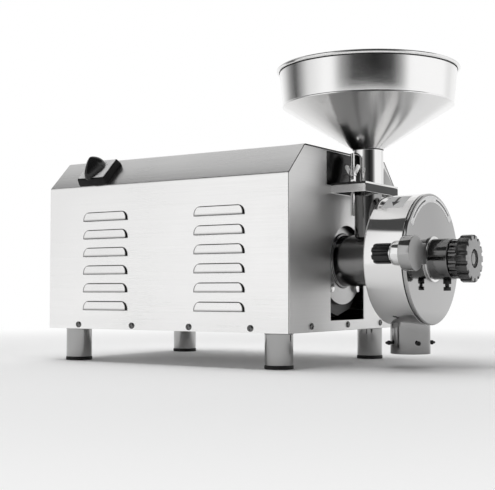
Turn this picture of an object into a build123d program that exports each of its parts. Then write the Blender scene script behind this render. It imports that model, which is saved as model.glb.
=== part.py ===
from build123d import *

import os
from math import asin, atan, cos, degrees, pi, radians, sin, sqrt, tan

# Electric powder grinder: a motor in a sheet steel casing drives a feed screw and a toothed disc in a round drum.
# Millimetres. X runs from the tail panel to the adjusting knob, -Y is the side with the switch, Z is up.
# The origin is on the bench, under the middle of the whole machine.

# Shared fits
seat_gap = 0.3
turn_gap = 0.06
sheet_gap = 0.2
overrun = 10.0
round_sides = 12
tube_sides = 24
disc_sides = 36
hopper_sides = 48
drum_sides = 72
bolt_sides = 8

# Casing
casing_length = 420.0
casing_depth = 326.0
wall_height = 209.0
slope_run = 42.6
sheet = 1.5
tray_lip = 12.0
panel_lip = 14.0
leg_height = 48.0

# Pressed louvres, two columns on the front and on the rear wall
louvre_width = 83.0
louvre_height = 13.5
louvre_depth = 5.0
louvre_round_share = 0.8
louvre_round_steps = 2
louvre_pitch = 26.0
louvre_rows = 6
louvre_column = 100.7
louvre_lowest = 27.3

# Casing screws along the lower edges
screw_head = 4.5
screw_head_height = 2.4
wall_screw_rise = 6.0
wall_screw_pitch = 101.0
panel_screw_rise = 8.0
panel_screw_pitch = 103.0

# Legs
leg_radius = 19.0
leg_inset_x = 32.7
leg_inset_y = 30.0
pad_height = 5.0
pad_radius = 19.6

# Bolt heads that hold the legs and the motor cradle to the tray
tray_bolt_head = 7.2
tray_bolt_head_height = 5.0

# Cable inlet in the tail panel
gland_reach = 20.0
gland_flange = 5.0
gland_hex = 12.5
gland_thread = 9.0
gland_nose = 8.0
gland_bore = 5.0
gland_inside = 11.0
gland_nut_height = 4.0
gland_y = 96.0
gland_rise = 46.0

# Rotary switch on the front slope
switch_x_inset = 82.5
switch_drop = 3.5
switch_width = 58.0
switch_length = 47.0
switch_height = 10.5
switch_top_inset = 3.5
switch_plate_edge = 1.5
switch_plate_thickness = 1.0
switch_body_width = 42.0
switch_body_length = 36.0
switch_body_depth = 52.0
switch_shaft = 4.0
switch_shaft_depth = 20.0
handle_round = 14.5
handle_tip = 3.2
handle_reach = 23.0
handle_height = 24.0
handle_top_share = 0.5
handle_round_steps = 10
handle_tip_steps = 4

# Spindle line and motor
axis_height = 146.0
motor_radius = 78.0
motor_wall = 6.0
motor_length = 190.0
bell_depth = 14.0
bearing_radius = 26.0
bearing_width = 15.0
stator_length = 110.0
stator_bore = 46.0
air_gap = 0.6
winding_length = 24.0
winding_round = 6.0
fan_radius = 64.0
fan_width = 24.0
fan_hub = 16.0
fan_blades = 6
fan_blade = 3.0
cowl_length = 46.0
cowl_wall = 2.0
cowl_hole = 22.0

# Cradle under the motor
cradle_plate = 4.0
cradle_saddle = 8.0
cradle_half_width = 66.0
cradle_half_length = 66.0
cradle_rise = 52.0
cradle_bolt_inset = 14.0

# Capacitors beside the motor's fan end
capacitor_radius = 22.5
capacitor_height = 96.0
capacitor_inset = 62.0
capacitor_pitch = 56.0
capacitor_y = 62.0
capacitor_band = 16.0
capacitor_band_rise = 52.0
capacitor_strap = 2.5

# Feed barrel
barrel_flange_back = 17.0
barrel_flange = 9.0
barrel_flange_radius = 62.5
barrel_radius = 36.0
barrel_bore = 30.0
barrel_bolt_circle = 54.0
barrel_bolt_head = 7.2
barrel_bolt_head_height = 5.0
seal_radius = 21.0
seal_width = 6.0
notch_half_width = 49.75
notch_floor = 14.5

# Shaft, from the fan end to the disc end
shaft_fan = 9.0
shaft_bearing = 12.5
shaft_core = 16.0
shaft_auger = 12.0
shaft_disc = 10.0
shaft_thread = 8.0

# Feed screw
auger_sleeve = 15.5
auger_radius = 28.8
auger_pitch = 34.0
auger_turns = 2
auger_segments = 6
auger_flight = 4.0
auger_end_gap = 1.5

# Mill drum and spout
drum_reach = 69.0
drum_length = 55.0
drum_radius = 89.0
drum_wall = 4.0
drum_back = 6.0
spout_radius = 27.0
spout_wall = 2.0
spout_bottom = 18.0
peg_height = 33.0
peg_radius = 3.0
peg_reach = 9.0

# Grinding discs
disc_radius = 76.0
disc_run_gap = 5.0
disc_body = 9.0
disc_tooth_height = 3.0
disc_gap = 0.8
disc_teeth = 16
disc_tooth_width = 5.0
disc_tooth_inner = 36.0
disc_tooth_skew = 14.0
disc_windows = 4
disc_window = 6.5
disc_window_circle = 22.0
disc_boss = 14.0
fixed_disc_bore = 21.0
disc_nut_radius = 13.5
disc_nut_height = 8.0

# Cover
cover_thickness = 4.5
gasket = 1.2
gasket_width = 5.0
hub_radius = 27.5
hub_length = 30.0
hub_foot = 31.0
hub_foot_height = 3.0
hub_thread_length = 16.0

# Carrier of the fixed disc, with its sliding sleeve
carrier_radius = 58.0
carrier_plate = 7.0
carrier_sleeve = 15.0
carrier_shoulder_gap = 5.5
carrier_key = 5.0
carrier_key_height = 2.5

# Adjusting screw and knob
screw_journal = 9.0
screw_collar = 12.0
screw_collar_height = 4.0
screw_thread = 11.0
knob_gap = 0.5
knob_length = 28.5
knob_radius = 32.0
knob_flute = 3.2
knob_lobes = 12
knob_lobe_share = 0.56
knob_seat_depth = 7.0
knob_stud = 8.0
knob_pocket = 14.5
knob_pocket_depth = 8.0
knob_plate_radius = 26.5
knob_plate_thickness = 1.0
ring_nut_radius = 13.0
ring_nut_height = 5.0
ring_nut_notches = 10
ring_nut_notch_depth = 2.4

# Lock bolt under the hub
lock_bolt = 3.0
lock_bolt_x = 20.0
lock_nut_radius = 6.0
lock_nut_height = 6.0
lock_head_radius = 5.4
lock_head_height = 5.0
lock_head_drop = 9.0

# Side clamps of the cover
clamp_y = 103.0
clamp_rise = 5.0
lug_radius = 16.0
lug_root = 4.0
lug_reach = 11.4
ear_radius = 22.5
ear_length = 16.0
ear_foot_half = 14.0
ear_foot_inner = 64.0
ear_foot_outer = 85.0
ear_foot_step = 3.0
clamp_stud = 5.0
clamp_stud_reach = 12.0
clamp_washer = 11.0
clamp_washer_height = 2.0
clamp_knob = 13.5
clamp_knob_length = 24.0
clamp_flute = 2.4
clamp_lobes = 8

# Hopper
hopper_x = 33.3
hopper_height = 416.4
hopper_rim = 125.2
hopper_rim_height = 6.0
hopper_skirt = 120.0
hopper_skirt_z = 362.3
hopper_cone_z = 301.7
hopper_neck = 19.5
hopper_sheet = 1.5
hopper_flange = 2.5
gusset_height = 24.0
gusset_inset = 6.0
gusset_sheet = 2.0

# Shelf and inlet under the hopper
shelf_height = 249.5
shelf_drop = 11.0
shelf_half_width = 51.0
shelf_plate = 2.0
inlet_bore = 17.6
inlet_wall = 1.8

# Studs and wing nuts on the shelf
stud_radius = 3.0
stud_x = 29.5
stud_y = 40.0
stud_top = 293.0
stud_bottom = 206.0
stud_nut = 5.8
stud_nut_height = 5.0
collar_radius = 5.0
collar_height = 9.5
wing_hub = 5.5
wing_hub_height = 7.0
wing_span = 11.0
wing_rise = 8.0
wing_sheet = 2.6

# Chain along X, from the panel faces out to the knob
knob_reach = drum_reach + drum_length + seat_gap + gasket + cover_thickness + hub_length + knob_gap + knob_length
overall_length = gland_reach + casing_length + knob_reach
tail_x = gland_reach - overall_length / 2
head_x = tail_x + casing_length
casing_middle = (tail_x + head_x) / 2
drum_rear = head_x + drum_reach
drum_front = drum_rear + drum_length
cover_rear = drum_front + seat_gap + gasket
cover_face = cover_rear + cover_thickness
hub_face = cover_face + hub_length
knob_rear = hub_face + knob_gap
knob_face = knob_rear + knob_length
flange_rear = head_x - barrel_flange_back
flange_face = flange_rear + barrel_flange
bell_rear = flange_rear - bell_depth
shell_rear = bell_rear - motor_length
fan_bell_rear = shell_rear - bell_depth
cowl_rear = fan_bell_rear - cowl_length
stator_front = (bell_rear + shell_rear + stator_length) / 2
stator_rear = stator_front - stator_length
back_inside = drum_rear + drum_back
rotor_disc_rear = back_inside + disc_run_gap
rotor_disc_face = rotor_disc_rear + disc_body
rotor_disc_tips = rotor_disc_face + disc_tooth_height
fixed_disc_tips = rotor_disc_tips + disc_gap
fixed_disc_face = fixed_disc_tips + disc_tooth_height
carrier_rear = fixed_disc_face + disc_body
carrier_front = carrier_rear + carrier_plate
thread_rear = hub_face - hub_thread_length
sleeve_end = thread_rear - carrier_shoulder_gap

# Heights
casing_top = leg_height + wall_height + slope_run
tray_top = leg_height + sheet
clamp_z = axis_height + clamp_rise
flange_low = shelf_height + seat_gap
flange_top = flange_low + hopper_flange
inlet_radius = inlet_bore + inlet_wall
shelf_reach = hopper_x + inlet_radius + seat_gap + shelf_plate
hopper_axis_x = head_x + hopper_x
spout_x = drum_rear + spout_radius
lug_face = drum_front + lug_reach
washer_rear = drum_front - lug_root - seat_gap - clamp_washer_height
collar_low = flange_top + turn_gap
collar_top = collar_low + collar_height
gland_z = leg_height + gland_rise
auger_rear = flange_face + auger_end_gap
fan_rear = fan_bell_rear - disc_run_gap - fan_width


def block(x0, x1, y0, y1, z0, z1):
    return Pos((x0 + x1) / 2, (y0 + y1) / 2, (z0 + z1) / 2) * Box(x1 - x0, y1 - y0, z1 - z0)


def cylinder_x(radius, x0, x1, y=0, z=axis_height):
    return Pos((x0 + x1) / 2, y, z) * Rot(0, 90, 0) * Cylinder(radius, x1 - x0)


def cross_plane(x, y=0, z=0):
    return Plane(origin=(x, y, z), x_dir=(0, 1, 0), z_dir=(1, 0, 0))


def prism_x(outline, x0, x1, y=0, z=axis_height):
    return extrude(cross_plane(x0, y, z) * outline, x1 - x0)


def prism_z(outline, z0, z1, x, y):
    return extrude(Pos(x, y, z0) * outline, z1 - z0)


# A rod stays inside its radius and a bore outside its own, so that a rod turns in a bore of its size
def rod_x(radius, x0, x1, y=0, z=axis_height, sides=round_sides):
    return prism_x(RegularPolygon(radius, sides), x0, x1, y, z)


def bore_x(radius, x0, x1, y=0, z=axis_height, sides=round_sides):
    return prism_x(RegularPolygon(radius, sides, major_radius=False), x0, x1, y, z)


def rod_z(radius, z0, z1, x, y, sides=round_sides):
    return prism_z(RegularPolygon(radius, sides), z0, z1, x, y)


def bore_z(radius, z0, z1, x, y, sides=round_sides):
    return prism_z(RegularPolygon(radius, sides, major_radius=False), z0, z1, x, y)


def stepped_x(start, steps):
    x0, first = steps[0]
    shaft = rod_x(first, start, x0)
    for x1, radius in steps[1:]:
        shaft += rod_x(radius, x0, x1)
        x0 = x1
    return shaft


def frustum(low, high):
    ends = [Polyline(*low, close=True), Polyline(*high, close=True)]
    sides = [
        Polyline(low[i - 1], low[i], high[i], high[i - 1], close=True) for i in range(len(low))
    ]
    return Solid(Shell([make_face(outline).face() for outline in ends + sides]))


def circle_points(radius, sides, x, y, z):
    turns = [2 * pi * side / sides for side in range(sides)]
    return [(x + radius * cos(turn), y + radius * sin(turn), z) for turn in turns]


def hexagon(radius):
    return RegularPolygon(radius, 6)


def octagon(radius):
    return RegularPolygon(radius, bolt_sides)


def arc_points(radius, first, last, steps, x=0, y=0):
    turns = [first + (last - first) * step / steps for step in range(steps + 1)]
    return [(x + radius * cos(turn), y + radius * sin(turn)) for turn in turns]


def on_circle(radius, count, first=0):
    turns = [first + 2 * pi * step / count for step in range(count)]
    return [(radius * cos(turn), axis_height + radius * sin(turn)) for turn in turns]


def casing_section(inset):
    corner = inset * tan(radians(22.5))
    half = casing_depth / 2 - inset
    top_half = casing_depth / 2 - slope_run - corner
    shoulder = leg_height + wall_height - corner
    top = casing_top - inset
    right = [(half, leg_height), (half, shoulder), (top_half, top)]
    left = [(-y, z) for y, z in reversed(right)]
    return make_face(Polyline(*right, *left, close=True))


def casing_prism(inset, x0, x1):
    return extrude(cross_plane(x0) * casing_section(inset), x1 - x0)


# Local frame of the switch: x along the casing, y up the slope, z out of it
slope_length = slope_run * sqrt(2)
slope_plane = Plane(
    origin=(tail_x + switch_x_inset, slope_run / 2 - casing_depth / 2, casing_top - slope_run / 2),
    x_dir=(1, 0, 0),
    z_dir=(0, -1, 1),
)
switch_y = switch_drop + switch_length / 2 - slope_length / 2
handle_low = switch_height + switch_plate_thickness + seat_gap
handle_top = handle_low + handle_height

# The machine reaches furthest forward at the tip of the switch handle, and furthest back at the rear louvres
handle_lean = (handle_reach + handle_tip) * handle_top_share + handle_top - switch_y
front_y = slope_run / 2 - casing_depth / 2 - handle_lean / sqrt(2)
middle_y = (front_y + casing_depth / 2 + louvre_depth) / 2


def base_tray():
    x0 = tail_x + sheet + sheet_gap
    x1 = head_x - sheet - sheet_gap
    half = casing_depth / 2 - sheet - sheet_gap
    pan = block(x0, x1, -half, half, leg_height, leg_height + tray_lip)
    return pan - block(x0 + sheet, x1 - sheet, sheet - half, half - sheet, tray_top, tray_top + tray_lip)


def louvre_outline(width, height):
    corner = louvre_round_share * height
    side = width / 2 - corner
    rise = height - corner
    right = arc_points(corner, 0, pi / 2, louvre_round_steps, side, rise)
    left = arc_points(corner, pi / 2, pi, louvre_round_steps, -side, rise)
    return make_face(Polyline((width / 2, 0), *right, *left, (-width / 2, 0), close=True))


def louvre_prism(width, height, section):
    outline = Plane.XZ * louvre_outline(width, height)
    front = Pos(0, 2 * overrun, 0) * extrude(outline, 4 * overrun)
    wedge = extrude(cross_plane(-width) * make_face(Polyline(*section, close=True)), 2 * width)
    return front & wedge


def louvre_hood():
    section = [(0, 0), (-louvre_depth, 0), (0, louvre_height)]
    return louvre_prism(louvre_width, louvre_height, section)


def louvre_void():
    inner_depth = louvre_depth - sheet
    inner_height = louvre_height * inner_depth / louvre_depth
    section = [(sheet + overrun, 0), (-inner_depth, 0), (0, inner_height), (sheet + overrun, inner_height)]
    return louvre_prism(louvre_width - 2 * sheet, inner_height, section)


def louvre_places():
    places = []
    for turn in (0, 180):
        y = casing_depth / 2 if turn else -casing_depth / 2
        for column in (-louvre_column, louvre_column):
            for row in range(louvre_rows):
                z = leg_height + louvre_lowest + row * louvre_pitch
                places.append(Pos(casing_middle + column, y, z) * Rot(0, 0, turn))
    return places


def casing_cover():
    shell = casing_prism(0, tail_x, head_x) - casing_prism(sheet, tail_x - overrun, head_x + overrun)
    half = casing_depth / 2 - sheet
    shell -= block(tail_x - overrun, head_x + overrun, -half, half, 0, leg_height + tray_lip)
    hood = louvre_hood()
    void = louvre_void()
    shell += [place * hood for place in louvre_places()]
    shell -= [place * void for place in louvre_places()]
    width = switch_body_width + 2 * sheet_gap
    length = switch_body_length + 2 * sheet_gap
    return shell - slope_plane * Pos(0, switch_y, 0) * Box(width, length, 2 * overrun)


def end_panel(x_out, inward):
    inset = sheet + sheet_gap
    x_in = x_out + inward * sheet
    x_lip = x_out + inward * panel_lip
    plate = casing_prism(inset, min(x_out, x_in), max(x_out, x_in))
    rim = casing_prism(inset, min(x_in, x_lip), max(x_in, x_lip))
    rim -= casing_prism(inset + sheet, min(x_in, x_lip), max(x_in, x_lip))
    clear = leg_height + tray_lip + sheet_gap
    rim -= block(tail_x, head_x, -casing_depth, casing_depth, 0, clear)
    return plate + rim


def head_end_panel():
    panel = end_panel(head_x, -1)
    x0 = head_x - overrun
    x1 = head_x + overrun
    panel -= cylinder_x(notch_half_width, x0, x1)
    floor = leg_height + notch_floor
    return panel - block(x0, x1, -notch_half_width, notch_half_width, floor, axis_height)


def tail_end_panel():
    panel = end_panel(tail_x, 1)
    bore = gland_thread + sheet_gap
    return panel - bore_x(bore, tail_x - overrun, tail_x + overrun, gland_y, gland_z, bolt_sides)


def casing_screws():
    head = prism_z(hexagon(screw_head), 0, screw_head_height, 0, 0)
    screws = []
    for side in (-1, 1):
        for step in (-1.5, -0.5, 0.5, 1.5):
            x = casing_middle + step * wall_screw_pitch
            place = Pos(x, side * casing_depth / 2, leg_height + wall_screw_rise)
            screws.append(place * Rot(-90 * side, 0, 0) * head)
    for x, turn in ((tail_x, -90), (head_x, 90)):
        for step in (-1, 0, 1):
            place = Pos(x, step * panel_screw_pitch, leg_height + panel_screw_rise)
            screws.append(place * Rot(0, turn, 0) * head)
    return Compound(children=screws)


def leg_places():
    xs = (tail_x + leg_inset_x, head_x - leg_inset_x)
    ys = (leg_inset_y - casing_depth / 2, casing_depth / 2 - leg_inset_y)
    return [(x, y) for x in xs for y in ys]


def legs():
    return Compound(children=[rod_z(leg_radius, pad_height, leg_height, x, y, tube_sides) for x, y in leg_places()])


def leg_pads():
    return Compound(children=[rod_z(pad_radius, 0, pad_height, x, y, tube_sides) for x, y in leg_places()])


def tray_bolts():
    half_length = cradle_half_length - cradle_bolt_inset
    half_width = cradle_half_width - cradle_bolt_inset
    middle = (stator_front + stator_rear) / 2
    heads = [(x, y, tray_top) for x, y in leg_places()]
    for i in (-1, 1):
        heads += [(middle + i * half_length, j * half_width, tray_top + cradle_plate) for j in (-1, 1)]
    hexagons = [prism_z(hexagon(tray_bolt_head), z, z + tray_bolt_head_height, x, y) for x, y, z in heads]
    return Compound(children=hexagons)


def cable_gland():
    flange_x = tail_x - gland_flange
    body = prism_x(hexagon(gland_hex), flange_x, tail_x, gland_y, gland_z)
    body += rod_x(gland_thread, tail_x, tail_x + gland_inside, gland_y, gland_z, bolt_sides)
    root = circle_points(gland_thread + sheet, round_sides, 0, 0, 0)
    end = circle_points(gland_nose, round_sides, 0, 0, gland_reach - gland_flange)
    body += Pos(flange_x, gland_y, gland_z) * Rot(0, -90, 0) * frustum(root, end)
    x0 = tail_x - gland_reach - overrun
    body -= rod_x(gland_bore, x0, tail_x + gland_inside + overrun, gland_y, gland_z, bolt_sides)
    nut_x = tail_x + sheet
    nut = prism_x(hexagon(gland_hex), nut_x, nut_x + gland_nut_height, gland_y, gland_z)
    nut -= rod_x(gland_thread + turn_gap, nut_x - overrun, nut_x + overrun, gland_y, gland_z, bolt_sides)
    return Compound(children=[body, nut])


def switch_base():
    corners = [(-1, -1), (1, -1), (1, 1), (-1, 1)]
    half_x = switch_width / 2
    half_y = switch_length / 2
    low = [(i * half_x, switch_y + j * half_y, 0) for i, j in corners]
    half_x -= switch_top_inset
    half_y -= switch_top_inset
    high = [(i * half_x, switch_y + j * half_y, switch_height) for i, j in corners]
    body = Box(switch_body_width, switch_body_length, switch_body_depth)
    base = frustum(low, high) + Pos(0, switch_y, -switch_body_depth / 2) * body
    floor = switch_height - switch_shaft_depth
    base -= bore_z(switch_shaft + turn_gap, floor, switch_height + overrun, 0, switch_y, bolt_sides)
    return slope_plane * base


def switch_plate():
    margin = 2 * (switch_top_inset + switch_plate_edge)
    top = switch_height + switch_plate_thickness
    plate = Rectangle(switch_width - margin, switch_length - margin)
    plate = prism_z(plate, switch_height, top, 0, switch_y)
    hole = bore_z(switch_shaft + seat_gap, switch_height - overrun, top + overrun, 0, switch_y, bolt_sides)
    return slope_plane * (plate - hole)


def pear(share, height):
    tip_y = -handle_reach * share
    lean = asin((handle_round - handle_tip) / handle_reach)
    crown = arc_points(handle_round * share, -lean, pi + lean, handle_round_steps)
    tip = arc_points(handle_tip * share, pi + lean, 2 * pi - lean, handle_tip_steps, 0, tip_y)
    return [(x, y, height) for x, y in crown + tip]


def switch_handle():
    grip = frustum(pear(1, handle_low), pear(handle_top_share, handle_top))
    stem_low = switch_height - switch_shaft_depth + seat_gap
    stem = rod_z(switch_shaft, stem_low, handle_low, 0, 0, bolt_sides)
    return slope_plane * Pos(0, switch_y, 0) * (grip + stem)


def tube_x(outer, inner, x0, x1):
    return rod_x(outer, x0, x1) - rod_x(inner, x0 - overrun, x1 + overrun)


def motor_shell():
    return tube_x(motor_radius, motor_radius - motor_wall, shell_rear, bell_rear)


def stator_core():
    return tube_x(motor_radius - motor_wall - sheet_gap, stator_bore, stator_rear, stator_front)


def stator_windings():
    inner = stator_bore + winding_round
    outer = motor_radius - motor_wall - winding_round
    front = tube_x(outer, inner, stator_front, stator_front + winding_length)
    return Compound(children=[front, tube_x(outer, inner, stator_rear - winding_length, stator_rear)])


def end_bell(x_shell, x_out, pocket_side):
    pocket_end = x_shell + pocket_side * bearing_width
    hole = shaft_core + seat_gap
    wall = tube_x(motor_radius, hole, min(x_shell, x_out), max(x_shell, x_out))
    pocket = bearing_radius + turn_gap
    return wall + tube_x(pocket + motor_wall, pocket, min(x_shell, pocket_end), max(x_shell, pocket_end))


def drive_end_bell():
    return end_bell(bell_rear, flange_rear, -1)


def fan_end_bell():
    return end_bell(shell_rear, fan_bell_rear, 1)


def motor_bearings():
    rings = []
    for x0 in (bell_rear - bearing_width, shell_rear):
        ring = rod_x(bearing_radius, x0, x0 + bearing_width)
        rings.append(ring - bore_x(shaft_bearing + turn_gap, x0 - overrun, x0 + bearing_width + overrun))
    return Compound(children=rings)


def fan_cowl():
    cup = rod_x(motor_radius, cowl_rear, fan_bell_rear)
    cup -= rod_x(motor_radius - cowl_wall, cowl_rear + cowl_wall, fan_bell_rear + overrun)
    return cup - rod_x(cowl_hole, cowl_rear - overrun, cowl_rear + overrun)


def motor_cradle():
    x_middle = (stator_front + stator_rear) / 2
    x0 = x_middle - cradle_half_length
    x1 = x_middle + cradle_half_length
    low = tray_top + cradle_plate
    cradle = block(x0, x1, -cradle_half_width, cradle_half_width, tray_top, low)
    half = cradle_half_width - 2 * cradle_bolt_inset
    for x in (x0, x1 - cradle_saddle):
        cradle += block(x, x + cradle_saddle, -half, half, low, low + cradle_rise)
    return cradle - rod_x(motor_radius, x0 - overrun, x1 + overrun)


def capacitor_places():
    x = tail_x + capacitor_inset
    return [(x, capacitor_y + side * capacitor_pitch / 2) for side in (-1, 1)]


def run_capacitors():
    top = tray_top + capacitor_height
    return Compound(children=[rod_z(capacitor_radius, tray_top, top, x, y) for x, y in capacitor_places()])


def capacitor_clamp():
    outer = capacitor_radius + capacitor_strap
    low = tray_top + capacitor_band_rise
    top = low + capacitor_band
    back = tail_x + capacitor_inset + outer
    y0 = capacitor_y - capacitor_pitch / 2
    y1 = capacitor_y + capacitor_pitch / 2
    clamp = block(back - capacitor_strap, back, y0, y1, tray_top, top)
    clamp += block(back, back + capacitor_band, y0, y1, tray_top, tray_top + capacitor_strap)
    for x, y in capacitor_places():
        clamp += rod_z(outer, low, top, x, y)
    for x, y in capacitor_places():
        clamp -= rod_z(capacitor_radius + turn_gap, tray_top - overrun, top + overrun, x, y)
    return clamp


def feed_barrel():
    barrel = rod_x(barrel_flange_radius, flange_rear, flange_face, sides=tube_sides)
    barrel += rod_x(barrel_radius, flange_face, back_inside, sides=tube_sides)
    barrel -= rod_x(barrel_bore, flange_face, back_inside + overrun, sides=tube_sides)
    barrel -= rod_x(seal_radius + turn_gap, flange_rear - overrun, flange_rear + seal_width)
    barrel -= rod_x(shaft_core + seat_gap, flange_rear, flange_face + overrun)
    top = axis_height + barrel_radius + overrun
    return barrel - rod_z(inlet_bore, axis_height, top, hopper_axis_x, 0, tube_sides)


def barrel_bolts():
    end = flange_face + barrel_bolt_head_height
    places = on_circle(barrel_bolt_circle, 4, pi / 4)
    return Compound(children=[prism_x(hexagon(barrel_bolt_head), flange_face, end, y, z) for y, z in places])


def shaft_seal():
    ring = rod_x(seal_radius, flange_rear, flange_rear + seal_width)
    return ring - bore_x(shaft_bearing + turn_gap, flange_rear - overrun, flange_rear + overrun)


def motor_shaft():
    return stepped_x(
        fan_rear,
        [
            (fan_bell_rear, shaft_fan),
            (shell_rear + bearing_width, shaft_bearing),
            (bell_rear - bearing_width, shaft_core),
            (auger_rear, shaft_bearing),
            (rotor_disc_rear, shaft_auger),
            (rotor_disc_tips, shaft_disc),
            (rotor_disc_tips + disc_nut_height + auger_end_gap, shaft_thread),
        ],
    )


def rotor_core():
    core = rod_x(stator_bore * cos(pi / round_sides) - air_gap, stator_rear, stator_front)
    return core - bore_x(shaft_core + turn_gap, stator_rear - overrun, stator_front + overrun)


def cooling_fan():
    x1 = fan_rear + fan_width
    fan = rod_x(fan_hub, fan_rear, x1) + rod_x(fan_radius, x1 - fan_blade, x1)
    blade = block(fan_rear, x1 - fan_blade, fan_hub - fan_blade, fan_radius - fan_blade, 0, fan_blade)
    for step in range(fan_blades):
        fan += Pos(0, 0, axis_height) * Rot(360 * step / fan_blades, 0, 0) * blade
    return fan - bore_x(shaft_fan + turn_gap, fan_rear - overrun, x1 + overrun)


def feed_auger():
    length = rotor_disc_rear - auger_rear
    middle = (auger_sleeve + auger_radius) / 2
    turn = 2 * pi / auger_segments
    lean = degrees(atan(auger_pitch / (2 * pi * middle)))
    root = auger_sleeve - sheet
    edges = [(root, -turn / 2), (auger_radius, -turn / 2), (auger_radius, turn / 2), (root, turn / 2)]
    sector = make_face(Polyline(*[(r * cos(a), r * sin(a)) for r, a in edges], close=True))
    plate = Rot(lean, 0, 0) * extrude(sector, auger_flight / 2, both=True)
    count = auger_turns * auger_segments
    rise = auger_pitch / auger_segments
    start = (length - rise * (count - 1)) / 2
    screw = prism_z(RegularPolygon(auger_sleeve, round_sides), 0, length, 0, 0)
    screw += [Pos(0, 0, start + rise * i) * Rot(0, 0, degrees(turn * i)) * plate for i in range(count)]
    screw -= bore_z(shaft_auger + turn_gap, -overrun, length + overrun, 0, 0)
    return Pos(auger_rear, 0, axis_height) * Rot(0, 90, 0) * screw


def ring_of_teeth(x0, x1):
    length = disc_radius - disc_tooth_inner - disc_tooth_height
    middle = (disc_radius + disc_tooth_inner) / 2
    tooth = block(x0, x1, -length / 2, length / 2, -disc_tooth_width / 2, disc_tooth_width / 2)
    tooth = Pos(0, middle, 0) * Rot(disc_tooth_skew, 0, 0) * tooth
    turns = [360 * step / disc_teeth for step in range(disc_teeth)]
    return [Pos(0, 0, axis_height) * Rot(turn, 0, 0) * tooth for turn in turns]


def rotating_disc():
    disc = rod_x(disc_radius, rotor_disc_rear, rotor_disc_face, sides=disc_sides)
    disc += ring_of_teeth(rotor_disc_face, rotor_disc_tips)
    disc += rod_x(disc_boss, rotor_disc_face, rotor_disc_tips)
    x0 = rotor_disc_rear - overrun
    x1 = rotor_disc_tips + overrun
    disc -= bore_x(shaft_disc + turn_gap, x0, x1)
    for y, z in on_circle(disc_window_circle, disc_windows):
        disc -= rod_x(disc_window, x0, x1, y, z, bolt_sides)
    return disc


def disc_nut():
    x1 = rotor_disc_tips + disc_nut_height
    nut = prism_x(hexagon(disc_nut_radius), rotor_disc_tips, x1)
    return nut - bore_x(shaft_thread + turn_gap, rotor_disc_tips - overrun, x1 + overrun)


def mill_drum():
    drum = rod_x(drum_radius, drum_rear, drum_front, sides=drum_sides)
    drum -= rod_x(drum_radius - drum_wall, back_inside, drum_front + overrun, sides=drum_sides)
    drum -= rod_x(barrel_radius + turn_gap, drum_rear - overrun, back_inside + overrun, sides=tube_sides)
    drum -= rod_z(spout_radius - spout_wall, 0, axis_height, spout_x, 0, tube_sides)
    root = drum_front - lug_root
    for side in (-1, 1):
        y = side * clamp_y
        lug = rod_x(lug_radius, root, lug_face, y, clamp_z, tube_sides)
        lug -= rod_x(drum_radius - drum_wall / 2, root - overrun, drum_front, sides=drum_sides)
        lug -= rod_x(drum_radius + seat_gap, drum_front, lug_face + overrun, sides=drum_sides)
        drum += lug
        drum -= bore_x(clamp_stud + turn_gap, root - overrun, lug_face + overrun, y, clamp_z, bolt_sides)
    return drum


def discharge_spout():
    bore = spout_radius - spout_wall
    tube = rod_z(spout_radius, spout_bottom, axis_height, spout_x, 0, tube_sides)
    tube -= rod_z(bore, spout_bottom - overrun, axis_height + overrun, spout_x, 0, tube_sides)
    return tube - rod_x(drum_radius, drum_rear - overrun, drum_front + overrun, sides=drum_sides)


def bag_pegs():
    reach = spout_radius + peg_reach
    pegs = []
    for quarter in range(4):
        peg = Rot(0, 90, 0) * prism_z(octagon(peg_radius), 0, reach, 0, 0)
        peg = Pos(spout_x, 0, peg_height) * Rot(0, 0, 45 + 90 * quarter) * peg
        pegs.append(peg - rod_z(spout_radius, 0, axis_height, spout_x, 0, tube_sides))
    return Compound(children=pegs)


def front_cover():
    cover = rod_x(drum_radius, cover_rear, cover_face, sides=drum_sides)
    ear_rear = lug_face + seat_gap
    ear_face = ear_rear + ear_length
    low = clamp_z - ear_foot_half
    high = clamp_z + ear_foot_half
    for side in (-1, 1):
        y = side * clamp_y
        y0, y1 = sorted((side * ear_foot_inner, side * ear_foot_outer))
        cover += cylinder_x(ear_radius, ear_rear, ear_face, y, clamp_z)
        cover += block(cover_face, ear_face - ear_foot_step, y0, y1, low, high)
        bore_end = ear_rear + clamp_stud_reach
        cover -= bore_x(clamp_stud + turn_gap, ear_rear - overrun, bore_end, y, clamp_z, bolt_sides)
    bore = carrier_sleeve + carrier_key_height + seat_gap
    return cover - rod_x(bore, cover_rear - overrun, cover_face + overrun)


def cover_gasket():
    x0 = cover_rear - gasket
    ring = rod_x(drum_radius, x0, cover_rear, sides=disc_sides)
    return ring - rod_x(drum_radius - gasket_width, x0 - overrun, cover_rear + overrun, sides=disc_sides)


def key_bar(clearance, x0, x1):
    half = carrier_key / 2 + clearance
    top = axis_height + carrier_sleeve + carrier_key_height + clearance
    return block(x0, x1, -half, half, axis_height, top)


def adjuster_hub():
    hub = rod_x(hub_radius, cover_face, hub_face, sides=disc_sides)
    hub += rod_x(hub_foot, cover_face, cover_face + hub_foot_height, sides=disc_sides)
    hub -= bore_x(carrier_sleeve + turn_gap, cover_face - overrun, thread_rear)
    hub -= key_bar(turn_gap, cover_face - overrun, thread_rear)
    return hub - bore_x(screw_thread + turn_gap, thread_rear - overrun, hub_face + overrun)


def lock_bolt_set():
    x = cover_face + lock_bolt_x
    nut_top = axis_height - hub_radius
    nut_low = nut_top - lock_nut_height
    head_low = nut_low - lock_head_drop
    head_top = head_low + lock_head_height
    bolt = prism_z(hexagon(lock_nut_radius), nut_low, nut_top, x, 0)
    bolt += rod_z(lock_bolt, head_top, nut_low, x, 0, bolt_sides)
    return bolt + prism_z(hexagon(lock_head_radius), head_low, head_top, x, 0)


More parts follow.
